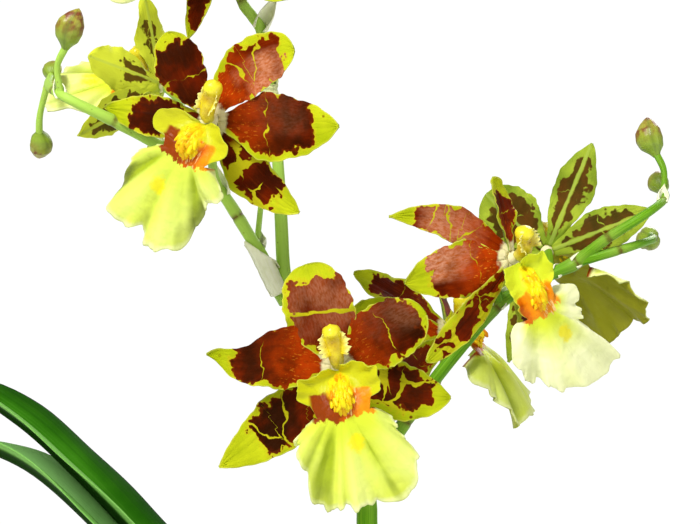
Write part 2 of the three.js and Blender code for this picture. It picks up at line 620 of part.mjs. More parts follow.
function tepalRows(tepal, rowCount, columnCount) {
  const { angle, length, lift = 0, bend = 0, sweep = 0, turn = 0, twist = 0 } = tepal;
  const { cup = 0.1, wave = 0.06 } = tepal;
  const out = inBloom(Math.sin(degrees(angle)), Math.cos(degrees(angle)), 0);
  const beside = inBloom(Math.cos(degrees(angle)), -Math.sin(degrees(angle)), 0);
  const facing = inBloom(0, 0, 1);
  const axesAt = (place) => {
    const rise = degrees(lift + bend * place ** 1.5);
    const aside = degrees(sweep * place);
    const rolled = degrees(turn + twist * place);
    const ahead = out.clone().multiplyScalar(Math.cos(aside)).addScaledVector(beside, Math.sin(aside));
    const across = beside.clone().multiplyScalar(Math.cos(aside)).addScaledVector(out, -Math.sin(aside));
    const along = ahead.clone().multiplyScalar(Math.cos(rise)).addScaledVector(facing, Math.sin(rise));
    const top = facing.clone().multiplyScalar(Math.cos(rise)).addScaledVector(ahead, -Math.sin(rise));
    return {
      along,
      wide: across.clone().multiplyScalar(Math.cos(rolled)).addScaledVector(top, Math.sin(rolled)),
      thick: top.clone().multiplyScalar(Math.cos(rolled)).addScaledVector(across, -Math.sin(rolled)),
    };
  };
  const substeps = 6;
  const spine = out.clone().multiplyScalar(ROOT_RADIUS);
  const rows = [];
  for (let step = 0; step <= rowCount * substeps; step += 1) {
    const place = step / (rowCount * substeps);
    if (step) {
      const between = place - 0.5 / (rowCount * substeps);
      spine.addScaledVector(axesAt(between).along, length / (rowCount * substeps));
    }
    if (step % substeps === 0) {
      const { wide, thick } = axesAt(place);
      const half = halfWidth(tepal, place);
      const row = [];
      for (let j = 0; j <= columnCount; j += 1) {
        const v = 2 * j / columnCount - 1;
        const lag = v > 0 ? RIPPLE_LAG : 0;
        const ripple = Math.sin(4 * Math.PI * place + lag) * smooth(place / RIPPLE_START);
        const off = cup * half * v * v + wave * tepal.width / 2 * Math.abs(v) ** 2.5 * ripple;
        row.push(spine.clone().addScaledVector(wide, half * v).addScaledVector(thick, off));
      }
      rows.push(row);
    }
  }
  return rows;
}

function tepalsOf(bloom, grow) {
  const [rowCount, columnCount] = bloom.fine ? [5, 3] : [4, 2];
  const hub = new THREE.SphereGeometry(HUB_RADIUS + grow, 7, 4);
  const blades = bloom.tepals.map((tepal) =>
    blade(tepalRows(tepal, rowCount, columnCount), BLADE, grow));
  return joined([solidOf(hub), ...blades]);
}

function pathPoints(points, count) {
  const curve = new THREE.CatmullRomCurve3(
    points.map(([x, y]) => new THREE.Vector3(x, y, 0)), false, "catmullrom", 0.5);
  return curve.getSpacedPoints(count);
}

function radiusAt(outline, angle) {
  let i = 1;
  while (i < outline.length - 1 && outline[i][0] < angle) {
    i += 1;
  }
  const [[fromAngle, fromRadius], [toAngle, toRadius]] = [outline[i - 1], outline[i]];
  return THREE.MathUtils.mapLinear(angle, fromAngle, toAngle, fromRadius, toRadius);
}

// The lip: a claw with a raised ear on each side, then the broad folded front lobe.
function lipRows(bloom, clawSteps, lobeSteps, columnCount) {
  const { face, neck, half, sag = -4, scale = 1 } = bloom.lip;
  const outline = bloom.lip.outline || PLAIN_OUTLINE;
  const [leftEar, rightEar] = (bloom.lip.ears || PLAIN_EARS).map((ear) => pathPoints(ear, clawSteps));
  const turn = turnOf(bloom.face).invert().multiply(turnOf(face));
  const neckPoint = inBloom(...neck);
  const place = (x, y, z) => inBloom(x, y, z).applyQuaternion(turn).add(neckPoint);
  const claw = inBloom(...LIP_ROOT).sub(neckPoint).applyQuaternion(turn.clone().invert());
  const [clawX, clawY, clawZ] = [claw.x, claw.z, -claw.y];
  const rows = [];
  for (let k = 0; k <= clawSteps; k += 1) {
    const t = k / clawSteps;
    const arch = Math.sin(Math.PI * t);
    const row = [];
    for (let j = 0; j <= columnCount; j += 1) {
      const s = 2 * j / columnCount - 1;
      const a = Math.abs(s);
      const ear = s < 0 ? leftEar[k] : rightEar[k];
      const middleZ = clawZ * (1 - t) + LIP_BULGE * arch;
      row.push(place(
        clawX * (1 - t) * (1 - a) + ear.x * a,
        clawY * (1 - t) * (1 - a) + ear.y * a,
        middleZ * (1 - EAR_DROP * a) + EAR_FORWARD * arch * a * a - EAR_CUP * arch * Math.sin(Math.PI * a)));
    }
    rows.push(row);
  }
  const [firstAngle, lastAngle] = [outline[0][0], outline[outline.length - 1][0]];
  for (let k = 1; k <= lobeSteps; k += 1) {
    const out = k / lobeSteps;
    const row = [];
    for (let j = 0; j <= columnCount; j += 1) {
      const s = 2 * j / columnCount - 1;
      const angle = firstAngle + (lastAngle - firstAngle) * j / columnCount;
      const radius = radiusAt(outline, angle) * scale;
      row.push(place(
        s * half * (1 - out) + radius * Math.sin(degrees(angle)) * out,
        -radius * Math.cos(degrees(angle)) * out,
        sag * out * out + LIP_FOLD * out ** 1.6 * Math.cos(Math.PI * LIP_FOLDS * s)));
    }
    rows.push(row);
  }
  return rows;
}

// The warty crest stands on the claw, under the column.
function crestOf(rows) {
  return CREST_WARTS.map(([i, j, radius]) => {
    const wart = new THREE.SphereGeometry(radius, 6, 3);
    const across = rows[i][j + 1].clone().sub(rows[i][j - 1]);
    const along = rows[i + 1][j].clone().sub(rows[i - 1][j]);
    const middle = rows[i][j].clone().addScaledVector(across.cross(along).normalize(), radius * 0.5);
    wart.applyMatrix4(new THREE.Matrix4().setPosition(middle));
    return solidOf(wart);
  });
}

function lipOf(bloom, grow) {
  const rows = bloom.fine ? lipRows(bloom, 4, 5, 10) : lipRows(bloom, 3, 3, 6);
  const warts = bloom.fine && !grow ? crestOf(rows) : [];
  return joined([blade(rows, LIP_BLADE, grow), ...warts]);
}

function columnOf(bloom) {
  const { length, forward } = bloom.column;
  const stations = COLUMN_AXIS.map(([up, share, more, radius]) => {
    const point = inBloom(0, up * length, share * forward + more);
    return [point.x, point.y, point.z, radius];
  });
  const wings = [-1, 1].map((side) => {
    const edge = (points) =>
      points.map(([out, up, more]) => inBloom(side * out, up * length, forward + more));
    const [inner, outer] = [edge(WING_INNER), edge(WING_OUTER)];
    return blade(side < 0 ? [inner, outer] : [outer, inner], BLADE);
  });
  return joined([stem(stations, 6, 4), ...(bloom.fine ? wings : [])]);
}

// ---------------------------------------------------------------- leaves and bulbs
function leafRows({ path, width, fold, rise }, rowCount) {
  const curve = new THREE.CatmullRomCurve3(
    path.map(([x, y, z]) => new THREE.Vector3(x, y, z)), false, "catmullrom", 0.5);
  const rows = [];
  for (let i = 0; i <= rowCount; i += 1) {
    const place = i / rowCount;
    const keel = curve.getPointAt(place);
    const along = curve.getTangentAt(place);
    const across = new THREE.Vector3().crossVectors(along, new THREE.Vector3(...rise)).normalize();
    const up = new THREE.Vector3().crossVectors(across, along);
    const half = halfWidth({ ...LEAF, width }, place);
    const lifted = degrees(THREE.MathUtils.lerp(LEAF_ROOT_FOLD, fold, smooth(place / LEAF_UNFOLDED)));
    rows.push([-1, 0, 1].map((side) => keel.clone()
      .addScaledVector(across, side * half * Math.cos(lifted))
      .addScaledVector(up, Math.abs(side) * half * Math.sin(lifted))));
  }
  return rows;
}

function bulbOf([x, y, height, width, thickness, turn], grow) {
  const profile = BULB_PROFILE.map(([across, up], i) => {
    const end = i === 0 ? -grow : up * height + (i === BULB_PROFILE.length - 1 ? grow : 0);
    return new THREE.Vector2(across ? across * width / 2 + grow : 0, end);
  });
  const body = new THREE.LatheGeometry(profile, BULB_SIDES);
  body.rotateX(Math.PI / 2);
  body.scale(1, (thickness / 2 + grow) / (width / 2 + grow), 1);
  body.rotateZ(degrees(turn));
  body.translate(x, y, BULB_BASE);
  return solidOf(body);
}

function rootstock(grow) {
  const pieces = [stem(RHIZOME, 8, 9, grow), stem(RHIZOME_BRANCH, 8, 4, grow)];
  for (const path of ROOTS) {
    pieces.push(stem(path, 5, 5, grow));
  }
  return joined(pieces);
}

// ---------------------------------------------------------------- spike
function spikeOf(grow) {
  const pieces = [
    stem(MAIN_STEM, 6, 22, grow),
    stem(LEFT_BRANCH, 5, 13, grow),
    stem(RIGHT_BRANCH, 5, 14, grow),
    stem(RIGHT_FORK, 5, 5, grow),
  ];
  for (const pedicel of PEDICELS) {
    pieces.push(stem(pedicel, 4, 3, grow));
  }
  if (!grow) {
    for (const bud of BUDS) {
      pieces.push(pointedBody(bud, 5));
    }
    for (const bract of BRACTS) {
      pieces.push(pointedBody(bract, 4));
    }
  }
  return joined(pieces);
}

// ---------------------------------------------------------------- pot and bark
function potOf() {
  const rimFoot = POT_HEIGHT - POT_RIM_HEIGHT;
  const innerFoot = POT_FOOT_RADIUS - POT_WALL + 1;
  const innerTop = POT_TOP_RADIUS - POT_WALL;
  const profile = [
    [0, 0], [POT_FOOT_RADIUS - POT_EDGE, 0], [POT_FOOT_RADIUS, POT_EDGE], [POT_TOP_RADIUS, rimFoot],
    [POT_RIM_RADIUS - POT_EDGE, rimFoot], [POT_RIM_RADIUS, rimFoot + POT_EDGE],
    [POT_RIM_RADIUS, POT_HEIGHT - POT_EDGE], [POT_RIM_RADIUS - POT_EDGE, POT_HEIGHT],
    [innerTop + POT_EDGE, POT_HEIGHT], [innerTop, POT_HEIGHT - POT_EDGE], [innerFoot, POT_FLOOR],
    [0, POT_FLOOR],
  ];
  const body = new THREE.LatheGeometry(profile.map(([r, z]) => new THREE.Vector2(r, z)), POT_SIDES);
  body.rotateX(Math.PI / 2);
  let pot = solidOf(body);
  for (let i = 0; i < DRAIN_COUNT; i += 1) {
    const drain = new THREE.CylinderGeometry(DRAIN_RADIUS, DRAIN_RADIUS, 3 * POT_FLOOR, 12);
    const around = 2 * Math.PI * (i + 0.5) / DRAIN_COUNT;
    drain.rotateX(Math.PI / 2);
    drain.translate(DRAIN_OFFSET * Math.cos(around), DRAIN_OFFSET * Math.sin(around), 0);
    pot = pot.subtract(solidOf(drain));
  }
  return pot;
}

function barkOf() {
  const innerFoot = POT_FOOT_RADIUS - POT_WALL + 1;
  const innerTop = POT_TOP_RADIUS - POT_WALL;
  const radiusAtHeight = (z) =>
    THREE.MathUtils.mapLinear(z, POT_FLOOR, POT_HEIGHT - POT_EDGE, innerFoot, innerTop) - CLEARANCE;
  const floor = POT_FLOOR + CLEARANCE;
  const fill = new THREE.LatheGeometry([
    new THREE.Vector2(0, floor),
    new THREE.Vector2(radiusAtHeight(floor), floor),
    new THREE.Vector2(radiusAtHeight(BARK_TOP), BARK_TOP),
    new THREE.Vector2(0, BARK_TOP),
  ], POT_SIDES);
  fill.rotateX(Math.PI / 2);
  const pieces = [solidOf(fill)];
  for (let i = 0; i < BARK_CHIPS; i += 1) {
    const out = THREE.MathUtils.lerp(...CHIP_SPREAD, Math.sqrt((i + 0.5) / BARK_CHIPS));
    const around = GOLDEN_TURN * i;
    const size = 0.8 + 0.4 * Math.abs(Math.sin(i * 7.3));
    const chip = new THREE.BoxGeometry(...CHIP_SIZE.map((side) => side * size));
    chip.rotateX(CHIP_TILT * Math.sin(i * 3.1));
    chip.rotateY(CHIP_TILT * Math.cos(i * 4.7));
    chip.rotateZ(i * 1.9);
    chip.translate(out * Math.cos(around), out * Math.sin(around), BARK_TOP + CHIP_LIFT);
    pieces.push(solidOf(chip));
  }
  return joined(pieces);
}

// ---------------------------------------------------------------- assembly
const rhizome = rootstock(0);
const widerRhizome = rootstock(CLEARANCE);
const bulbs = BULBS.map((bulb, i) => trimmed("pseudobulb_" + (i + 1), bulbOf(bulb, 0), [widerRhizome]));
const widerBulbs = BULBS.map((bulb) => bulbOf(bulb, CLEARANCE));

const leaves = [];
const widerLeaves = [];
LEAVES.forEach((leaf, i) => {
  const solid = blade(leafRows(leaf, 7), LEAF_BLADE);
  leaves.push(trimmed("leaf_" + (i + 1), solid, [widerRhizome, ...widerBulbs, ...widerLeaves]));
  widerLeaves.push(blade(leafRows(leaf, 7), LEAF_BLADE, CLEARANCE));
});

const bloomGroups = BLOOMS.map((bloom) => {
  const group = new THREE.Group();
  group.position.set(...bloom.hub);
  group.quaternion.copy(turnOf(bloom.face));
  root.add(group);
  return group;
});
const widerTepals = BLOOMS.map((bloom) => tepalsOf(bloom, CLEARANCE));
BLOOMS.forEach((bloom, i) => {
  const widerLip = lipOf(bloom, LIP_CLEARANCE);
  const lip = trimmed(bloom.name + "_lip", lipOf(bloom, 0), [widerTepals[i]]);
  const column = trimmed(bloom.name + "_column", columnOf(bloom), [widerTepals[i], widerLip, lip]);
  addNode(bloomGroups[i], bloom.name + "_tepals", tepalsOf(bloom, 0), TEPAL_BROWN, 0.45);
  addNode(bloomGroups[i], bloom.name + "_lip", lip, LIP_YELLOW, 0.4);
  addNode(bloomGroups[i], bloom.name + "_column", column, COLUMN_YELLOW, 0.4);
});

const spike = trimmed("flower_spike", spikeOf(0), [
  widerRhizome, ...widerBulbs, ...widerLeaves, ...widerTepals.map((solid, i) => moved(solid, bloomGroups[i])),
]);
const widerSpike = spikeOf(CLEARANCE);
const bark = trimmed("bark_medium", barkOf(), [widerRhizome, ...widerBulbs, ...widerLeaves, widerSpike]);

addNode(root, "pot", potOf(), CLAY, 0.85);
addNode(root, "bark_medium", bark, BARK, 0.95);
addNode(root, "rhizome_roots", rhizome, ROOT_GREEN, 0.8);
bulbs.forEach((bulb, i) => addNode(root, "pseudobulb_" + (i + 1), bulb, BULB_GREEN, 0.5));
leaves.forEach((leaf, i) => addNode(root, "leaf_" + (i + 1), leaf, LEAF_GREEN, 0.35));
addNode(root, "flower_spike", spike, STEM_GREEN, 0.5);
SHEATHS.forEach(({ stem: stations, from, to }, i) => {
  const sleeve = stem(stations, 6, 2, CLEARANCE + SHEATH_WALL, from, to);
  const hollow = trimmed("sheath_" + (i + 1), sleeve, [widerSpike]);
  addNode(root, "sheath_" + (i + 1), hollow, STRAW, 0.7);
});

export default root;
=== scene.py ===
import math

import bpy
import numpy as np
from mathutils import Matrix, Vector


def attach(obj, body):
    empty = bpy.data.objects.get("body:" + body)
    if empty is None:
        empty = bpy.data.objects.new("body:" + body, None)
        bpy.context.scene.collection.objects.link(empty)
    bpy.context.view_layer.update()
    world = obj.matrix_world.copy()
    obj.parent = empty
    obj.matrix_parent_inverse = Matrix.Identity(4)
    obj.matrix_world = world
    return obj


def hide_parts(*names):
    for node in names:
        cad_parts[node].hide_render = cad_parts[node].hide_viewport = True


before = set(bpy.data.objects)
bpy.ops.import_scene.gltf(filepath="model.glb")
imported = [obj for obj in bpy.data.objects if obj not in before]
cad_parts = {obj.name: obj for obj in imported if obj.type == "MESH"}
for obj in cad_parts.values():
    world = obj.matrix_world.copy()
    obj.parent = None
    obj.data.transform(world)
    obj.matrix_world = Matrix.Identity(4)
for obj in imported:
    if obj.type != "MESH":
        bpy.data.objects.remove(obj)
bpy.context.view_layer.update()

MM = 0.001
RNG = np.random.default_rng(41)

# ------------------------------------------------------------------ blooms, in millimetres
# face is yaw, pitch, roll. A tepal is angle, length, width and how it bends; skew and dents (place,
# spread, mm) push its margins in. Its look:
#   rim         clear yellow along its left and right edge, mm
#   tip         clear yellow at its tip, mm
#   brown       how much of the rest is blotched
#   cracks      yellow lines across it: place, slope; stray is how far they wander, line their width
#   split       a yellow line along it: mm across, from, to
#   islands     how far yellow channels part the brown into islands
#   mauve painted sheen: lighter satin brown with pink glints, on one half only where shine is 1 or -1
#   dark        painted shade: darker brown in patches where the tepal lies in shade
#   dark        shaded brown
#   fresh       (of the whole bloom) brighter yellow backs
# A lip has a face of its own and a neck (r, u, n) where its broad lobe starts, half as wide as half.
# Its outline is degrees and mm from the neck, its ears are the edges of the claw. folds and nicks are
# degrees, spread and mm. pale, green and tone colour it, crinkle ruffles the ears, spot is a yellow dot.
# pale also weakens the painted shade in the fold valleys, and a low pale paints the back dark olive as
# painted shade; green also sets how strong the painted shadow near the rim is.
# A column is its length and how far forward it stands.
SEPAL = dict(base=0.30, shoulder=0.52, m=3.2, k=0.80)
PETAL = dict(base=0.24, shoulder=0.58, m=4.2, k=0.72)
PLAIN_OUTLINE = [
    (-90, 8.5), (-76, 14), (-66, 18.5), (-56, 19.5), (-48, 21), (-40, 25.5), (-31, 28.5),
    (-22, 28.5), (-12, 27), (0, 26.5), (12, 28.5), (24, 29.5), (34, 28.5), (42, 26),
    (50, 22), (58, 18.5), (68, 17.5), (78, 13), (90, 8.5)]
PLAIN_EARS = (
    [(-2, 13), (-5, 12), (-10, 11), (-12, 9), (-12, 6.5), (-10, 4.5), (-8.5, 3.2), (-7.5, 0)],
    [(2, 13), (5, 13), (9, 12.3), (12, 9.5), (12, 6.5), (10.5, 4.2), (8.5, 3.2), (7.5, 0)])


def tepal(shape, angle, length, width, **more):
    return dict(shape, angle=angle, length=length, width=width, **more)


BLOOMS = [
    dict(
        name="bloom_centre", hub=(-3.4, -28, 400), face=(0, 5, -11),
        tepals=[
            tepal(SEPAL, -9, 29, 20.5, lift=8, bend=-22, cup=0.12, sweep=6, base=0.35, shoulder=0.45,
                  m=5, k=0.45, rim=(0.9, -0.4), tip=4.6, mauve=0.8, glow=0.1, cracks=((0.5, -0.22),),
                  stray=0.3, line=0.35, dark=0.0),
            tepal(SEPAL, -126, 43.5, 19, lift=-10, sweep=15, m=2.8, k=0.85,
                  rim=(0.4, 1.0), tip=13.5, dark=1.0, glow=0.0, cracks=((0.46, -0.9), (0.60, 0.5)),
                  line=0.3),
            tepal(SEPAL, 130, 32.5, 18.5, lift=-10, sweep=-30, m=3.4, k=0.75,
                  rim=(0.6, 2.6), tip=5, dark=0.8, glow=0.0, cracks=((0.42, 0.3),), islands=0.6),
            tepal(PETAL, -67, 36, 20, lift=8, sweep=-12, shoulder=0.38, m=2.2, k=0.75,
                  skew=(0.74, 0.24, -2.2), dents=((0.72, 0.16, 2.4), (0.93, 0.08, -1.2)),
                  rim=(0.3, -1.4), tip=7.2, dark=0.8, glow=1.1, cracks=((0.55, 0.12),)),
            tepal(PETAL, 62, 27.5, 18.5, lift=10, bend=-14, sweep=18, shoulder=0.4, m=5, k=0.5,
                  rim=(-0.8, 0.3), tip=2.4, mauve=0.45, shine=-1.0, glow=0.75, dark=0.85,
                  cracks=((0.55, 0.1),))],
        column=(10.5, 5),
        lip=dict(
            face=(0, 0, -11), neck=(-1, -13.5, 11), spot=(2.1, -8.8), pale=0.35, tone=-0.4, green=0.35,
            nicks=((-64, 2.2, 2.2), (-56, 2.5, -0.6), (-41, 4, 1.7), (-22, 2.5, 0.9), (9, 3, 1.0),
                   (30, 3, 0.9), (47, 3, 0.8)),
            folds=((-60, 8, 0.9), (-44, 6, -0.9), (-26, 8, -2.5), (-13, 3, 1.0), (0, 8, 1.9), (14, 6, 0.6),
                   (22, 4, -1.4), (42, 14, 1.3)),
            outline=[
                (-90, 8), (-76, 13), (-67, 17), (-60, 17.5), (-50, 19.5), (-42, 20.5), (-36, 23),
                (-30, 27.5), (-24, 28), (-14, 27.2), (0, 26.5), (13, 28.5), (23, 29.2), (32, 29),
                (40, 27.2), (48, 24.8), (56, 18.5), (66, 15), (78, 12.3), (90, 8)],
            ears=(
                [(-2, 13), (-5, 12), (-10, 11), (-12, 9.5), (-11.5, 8.3), (-12, 6.5), (-10, 4.5),
                 (-8.5, 3.5), (-7.5, 0)],
                [(1.5, 13.5), (4.5, 13.7), (8, 13), (10.5, 11.5), (11.5, 9), (12, 6.5), (10.5, 4.2),
                 (8.5, 3.2), (7.5, 0)]))),
    dict(
        name="bloom_upper_left", hub=(-39.2, -28, 470.6), face=(-28, -5, 28),
        tepals=[
            tepal(SEPAL, 0, 33, 16, sweep=60, shoulder=0.45, m=5, k=0.45,
                  rim=(0.9, -0.7), tip=3.6, mauve=2.4, shine=1.0, glow=1.1,
                  cracks=((0.42, 0.3), (0.6, -0.5)), line=0.2, dark=0.0),
            tepal(SEPAL, -115, 41, 14, lift=-10, sweep=8, m=3,
                  rim=(0.2, 0.4), tip=11.5, dark=0.6, glow=0.0, cracks=((0.2, 0.2),)),
            tepal(SEPAL, 128, 35, 16, lift=-12, sweep=-34, m=3,
                  rim=(0.2, 0.6), tip=8, dark=0.3, glow=0.0, cracks=((0.3, 0.5),), islands=1.0),
            tepal(PETAL, -62, 26.5, 17, lift=8, sweep=21, m=5, k=0.5,
                  rim=(0.3, -1.0), tip=3.2, dark=0.7, glow=0.0, cracks=((0.45, -0.2),)),
            tepal(PETAL, 72, 39, 21, sweep=-12, shoulder=0.45, m=3, k=0.7,
                  rim=(-1.2, 1.2), tip=8, dark=0.85, mauve=0.2, shine=-1.0, glow=0.6,
                  cracks=((0.42, 0.1),))],
        wings=0.55,
        lip=dict(
            face=(-24, 0, 26), neck=(0.5, -11, 9), half=7.2, spot=(-4.0, -10.8), pale=0.35, tone=-1.0,
            green=0.9, crinkle=0.25,
            nicks=((-36, 8, 1.5), (-57, 3, 0.8), (12, 3, 0.6)),
            folds=((-70, 8, 0.8), (-50, 10, -1.9), (-28, 10, 1.1), (-12, 7, -0.8), (2, 8, 0.9),
                   (16, 5, -0.6), (34, 9, -2.0), (54, 8, 0.9)),
            outline=[
                (-90, 8.5), (-75, 14.5), (-66, 18.5), (-55, 22), (-46, 26), (-40, 29.5), (-33, 30.5),
                (-26, 29.5), (-19, 27.5), (-14, 26.2), (-9, 27.5), (0, 28.5), (8, 28.7), (15, 26.8),
                (22, 24.5), (27, 21), (36, 17.5), (46, 14.5), (56, 15.8), (66, 15.5), (76, 12), (90, 8)],
            ears=(
                [(-3, 10.5), (-6.5, 11.5), (-9.5, 10.7), (-12.5, 8.5), (-13, 5.5), (-11, 3.5),
                 (-8, 3.3), (-7.2, 0)],
                [(3, 12), (6.5, 12), (9, 10), (12, 8.7), (13, 6.5), (12, 4.3), (9.5, 2.5), (7.2, 0)]))),
    dict(
        name="bloom_right", hub=(46.8, -22, 431.2), face=(42, 3, -22),
        tepals=[
            tepal(SEPAL, -25, 38, 13, lift=-25, sweep=-47, m=2.4, k=0.9,
                  rim=(-0.9, -0.6), tip=7.5, mauve=1.8, glow=0.5, line=0.15, dark=0.0,
                  cracks=((0.34, -0.6), (0.5, 0.3), (0.66, -0.3))),
            tepal(SEPAL, -123, 38.5, 10, lift=-15, sweep=15, m=5, k=0.6,
                  rim=(0.2, 0.3), tip=5, glow=0.3, cracks=((0.35, 0.6),), islands=0.8),
            tepal(SEPAL, 165, 28, 10, lift=-20, sweep=12, m=2.6, k=0.9,
                  rim=(1.5, 1.5), tip=6, dark=0.5),
            tepal(PETAL, -79, 31.5, 17.5, lift=-28, sweep=-3, shoulder=0.4, m=3, k=0.7,
                  rim=(-0.2, -0.3), tip=8.0, mauve=2.9, shine=1.0, glow=1.3, cracks=((0.3, 0.1),), dark=0.0),
            tepal(PETAL, 14, 22, 15, lift=-8, turn=-22, cup=0.2, m=4, k=0.6,
                  rim=(0.9, 0.3), tip=4.5, glow=1.0)],
        column=(8, 6),
        lip=dict(
            face=(20, -5, -33), neck=(-5, -14.5, 10), half=5, spot=(2.8, -9.9), pale=1.15, tone=8,
            folds=((-60, 10, 0.8), (-34, 11, -1.0), (-4, 10, 1.3), (24, 9, -0.9), (48, 9, 0.8)),
            outline=[
                (-85, 7), (-75, 11), (-66, 13.8), (-58, 16), (-49, 18), (-40, 20), (-33, 21.5),
                (-26, 21.2), (-18, 23.5), (-11, 26), (-4, 27), (3, 27.8), (10, 28.8), (17, 30),
                (24, 31.2), (29, 31.4), (33, 27), (37, 18.5), (41, 15.2), (50, 13.8), (62, 13.5),
                (74, 13.6), (85, 13.6), (95, 11.5), (108, 7)],
            ears=(
                [(-3, 15.5), (-5.5, 12), (-6, 7.5), (-6.3, 4), (-6, 2), (-5, 0)],
                [(2, 14), (5, 15.5), (8.5, 13.5), (9, 9.5), (7.8, 6.5), (6, 5), (5, 0)]))),
    dict(
        name="bloom_right_back", hub=(60.6, 15, 433.1), face=(158, 0, 37),
        tepals=[
            tepal(SEPAL, 9, 24, 19, lift=-8, m=5, k=0.45),
            tepal(SEPAL, -106, 33, 15, lift=2),
            tepal(SEPAL, 125, 34, 14, lift=-8, m=2.6, k=0.9),
            tepal(PETAL, -59, 34, 15, lift=5, wave=0.2, m=3, k=0.7),
            tepal(PETAL, 70, 34, 17, lift=5, m=3, k=0.7)],
        lip=dict(face=(150, 48, 32), neck=(0, -9, 12), scale=0.9, pale=0.1)),
    dict(
        name="bloom_centre_back", hub=(29.8, 14, 407.9), face=(66, 5, -15),
        tepals=[
            tepal(SEPAL, -10, 33, 17, lift=-45, sweep=-20, m=3, k=0.7, tip=6, glow=0.4,
                  cracks=((0.5, 0.2),)),
            tepal(SEPAL, -115, 34, 17, lift=-30, m=3, k=0.7, dark=0.3, cracks=((0.35, 0.4), (0.6, -0.3))),
            tepal(SEPAL, 160, 33, 12, lift=-28, m=2.6, k=0.9, dark=0.5),
            tepal(PETAL, -60, 34, 17, lift=-35, m=4, k=0.5, rim=(0.5, 0.5), tip=12, glow=1.5, mauve=0.6),
            tepal(PETAL, 60, 30, 17, lift=-20, m=3, k=0.7, glow=0.8)],
        lip=dict(face=(70, 48, -14), neck=(1, -5, 9), sag=-6, scale=0.95, pale=0.55)),
    dict(
        name="bloom_left_back", hub=(-59.3, 24, 484.9), face=(-100, 0, 10), fresh=1.0,
        tepals=[
            tepal(SEPAL, 0, 26, 12, lift=8, turn=65, twist=-30, wave=0.2, rim=(2.2, 1.2),
                  tip=7, brown=0.8, split=(1.2, 0.1, 0.7)),
            tepal(SEPAL, -135, 32, 13, lift=20, rim=(1.5, 1.5)),
            tepal(SEPAL, 115, 33, 15, lift=35),
            tepal(PETAL, -65, 26, 16, lift=-10, turn=20, rim=(1.0, 2.6), tip=15),
            tepal(PETAL, 60, 26, 16, lift=40, rim=(1.5, 1.5), tip=11)],
        lip=dict(face=(0, 52, 95), neck=(-3, 2, 13.5), scale=0.85, pale=0.7)),
    dict(
        name="bloom_top_front", hub=(-37.6, -12, 530), face=(-15, 0, 78),
        tepals=[
            tepal(SEPAL, 0, 30, 17, lift=-8, mauve=0.4),
            tepal(SEPAL, -125, 34, 15, lift=-5),
            tepal(SEPAL, 122, 34, 10, lift=-8, rim=(-0.5, 0.6), tip=3, dark=0.7),
            tepal(PETAL, -70, 32, 18, lift=5, glow=0.8),
            tepal(PETAL, 60, 30, 18, lift=5, glow=0.8)],
        lip=dict(face=(-15, 0, 78), neck=(0, -13, 11))),
    dict(
        name="bloom_top_right", hub=(-14, 12, 557), face=(120, -4, 8),
        tepals=[
            tepal(SEPAL, 4, 30, 17, lift=-6, sweep=10, mauve=0.4),
            tepal(SEPAL, -120, 33, 15, lift=-10),
            tepal(SEPAL, 122, 33, 15, lift=-8, sweep=-12),
            tepal(PETAL, -66, 31, 18, lift=6, sweep=-8, glow=0.8),
            tepal(PETAL, 64, 30, 18, lift=4, glow=0.8)],
        lip=dict(face=(120, 6, 8), neck=(0, -13, 11))),
    dict(
        name="bloom_top_left", hub=(-64, 18, 580), face=(-75, 4, -10),
        tepals=[
            tepal(SEPAL, -4, 30, 17, lift=4, bend=-18, mauve=0.4),
            tepal(SEPAL, -124, 33, 15, lift=-8, sweep=10),
            tepal(SEPAL, 118, 33, 14, lift=-10),
            tepal(PETAL, -64, 30, 18, lift=6, glow=0.8),
            tepal(PETAL, 68, 31, 18, lift=8, sweep=10, glow=0.8)],
        lip=dict(face=(-75, 8, -10), neck=(0, -13, 11))),
]

# ------------------------------------------------------------------ stems, in millimetres
# A stem is a list of (x, y, z, radius) along its middle.
MAIN_STEM = [
    (12, 0, 112, 3.4), (13, -14, 122, 3.6), (13, -19, 145, 3.6), (13, -17, 185, 3.5), (12, -9, 240, 3.4),
    (9, -3, 300, 3.3), (5.4, 0, 346.6, 3.2), (4.8, 1, 358.5, 3), (0.6, 3, 376.4, 2.7),
    (-9.7, 4, 400.4, 2.3), (-17.8, 3, 417, 2.1), (-19.9, 3, 427.6, 2.05), (-20.8, 4, 443.6, 1.95),
    (-22.1, 5, 463.9, 1.7), (-24.8, 5, 485.1, 1.7), (-26.6, 5, 499.3, 1.7), (-29.6, 5, 504.4, 1.6),
    (-33.3, 5, 510.5, 1.5), (-38, 6, 530, 1.5), (-42, 7, 552, 1.4), (-43, 7, 575, 1.2), (-41, 6, 592, 1)]
LEFT_BRANCH = [
    (-19.6, 2.4, 417.6, 1.8), (-22.5, 1, 423.1, 1.9), (-26.4, 0, 431.5, 2), (-29.4, 0, 436.6, 1.8),
    (-39.3, 0, 451.9, 1.75), (-48.1, 0, 458.5, 1.7), (-56.1, 0, 464.2, 1.7), (-68.5, -4, 471.1, 1.7),
    (-81.7, -6, 477.5, 1.5), (-88, -2, 481, 1.4), (-92, 9, 484, 1.2), (-93, 22, 488, 1)]
RIGHT_BRANCH = [
    (3.4, 1.4, 362, 2.2), (9, 0, 370, 2.1), (15.5, -2, 380.7, 2), (23.9, -3, 393, 1.95),
    (34.6, -3, 406.4, 1.9), (44.8, -3, 417.8, 1.9), (53.8, -3, 423.2, 1.85), (61.6, -2.5, 427, 1.8),
    (67.9, -2, 430, 2), (75.7, -6, 436.5, 1.5), (85.7, -9, 443, 1.4), (92, -4, 447, 1.2),
    (96, 8, 450, 1.1), (97, 21, 453, 1)]
RIGHT_FORK = [
    (67.9, -2, 430, 1.7), (76.2, -5, 432.4, 1.4), (86, -4, 435.3, 1.2), (92, 6, 437, 1.1), (93, 19, 438, 1)]
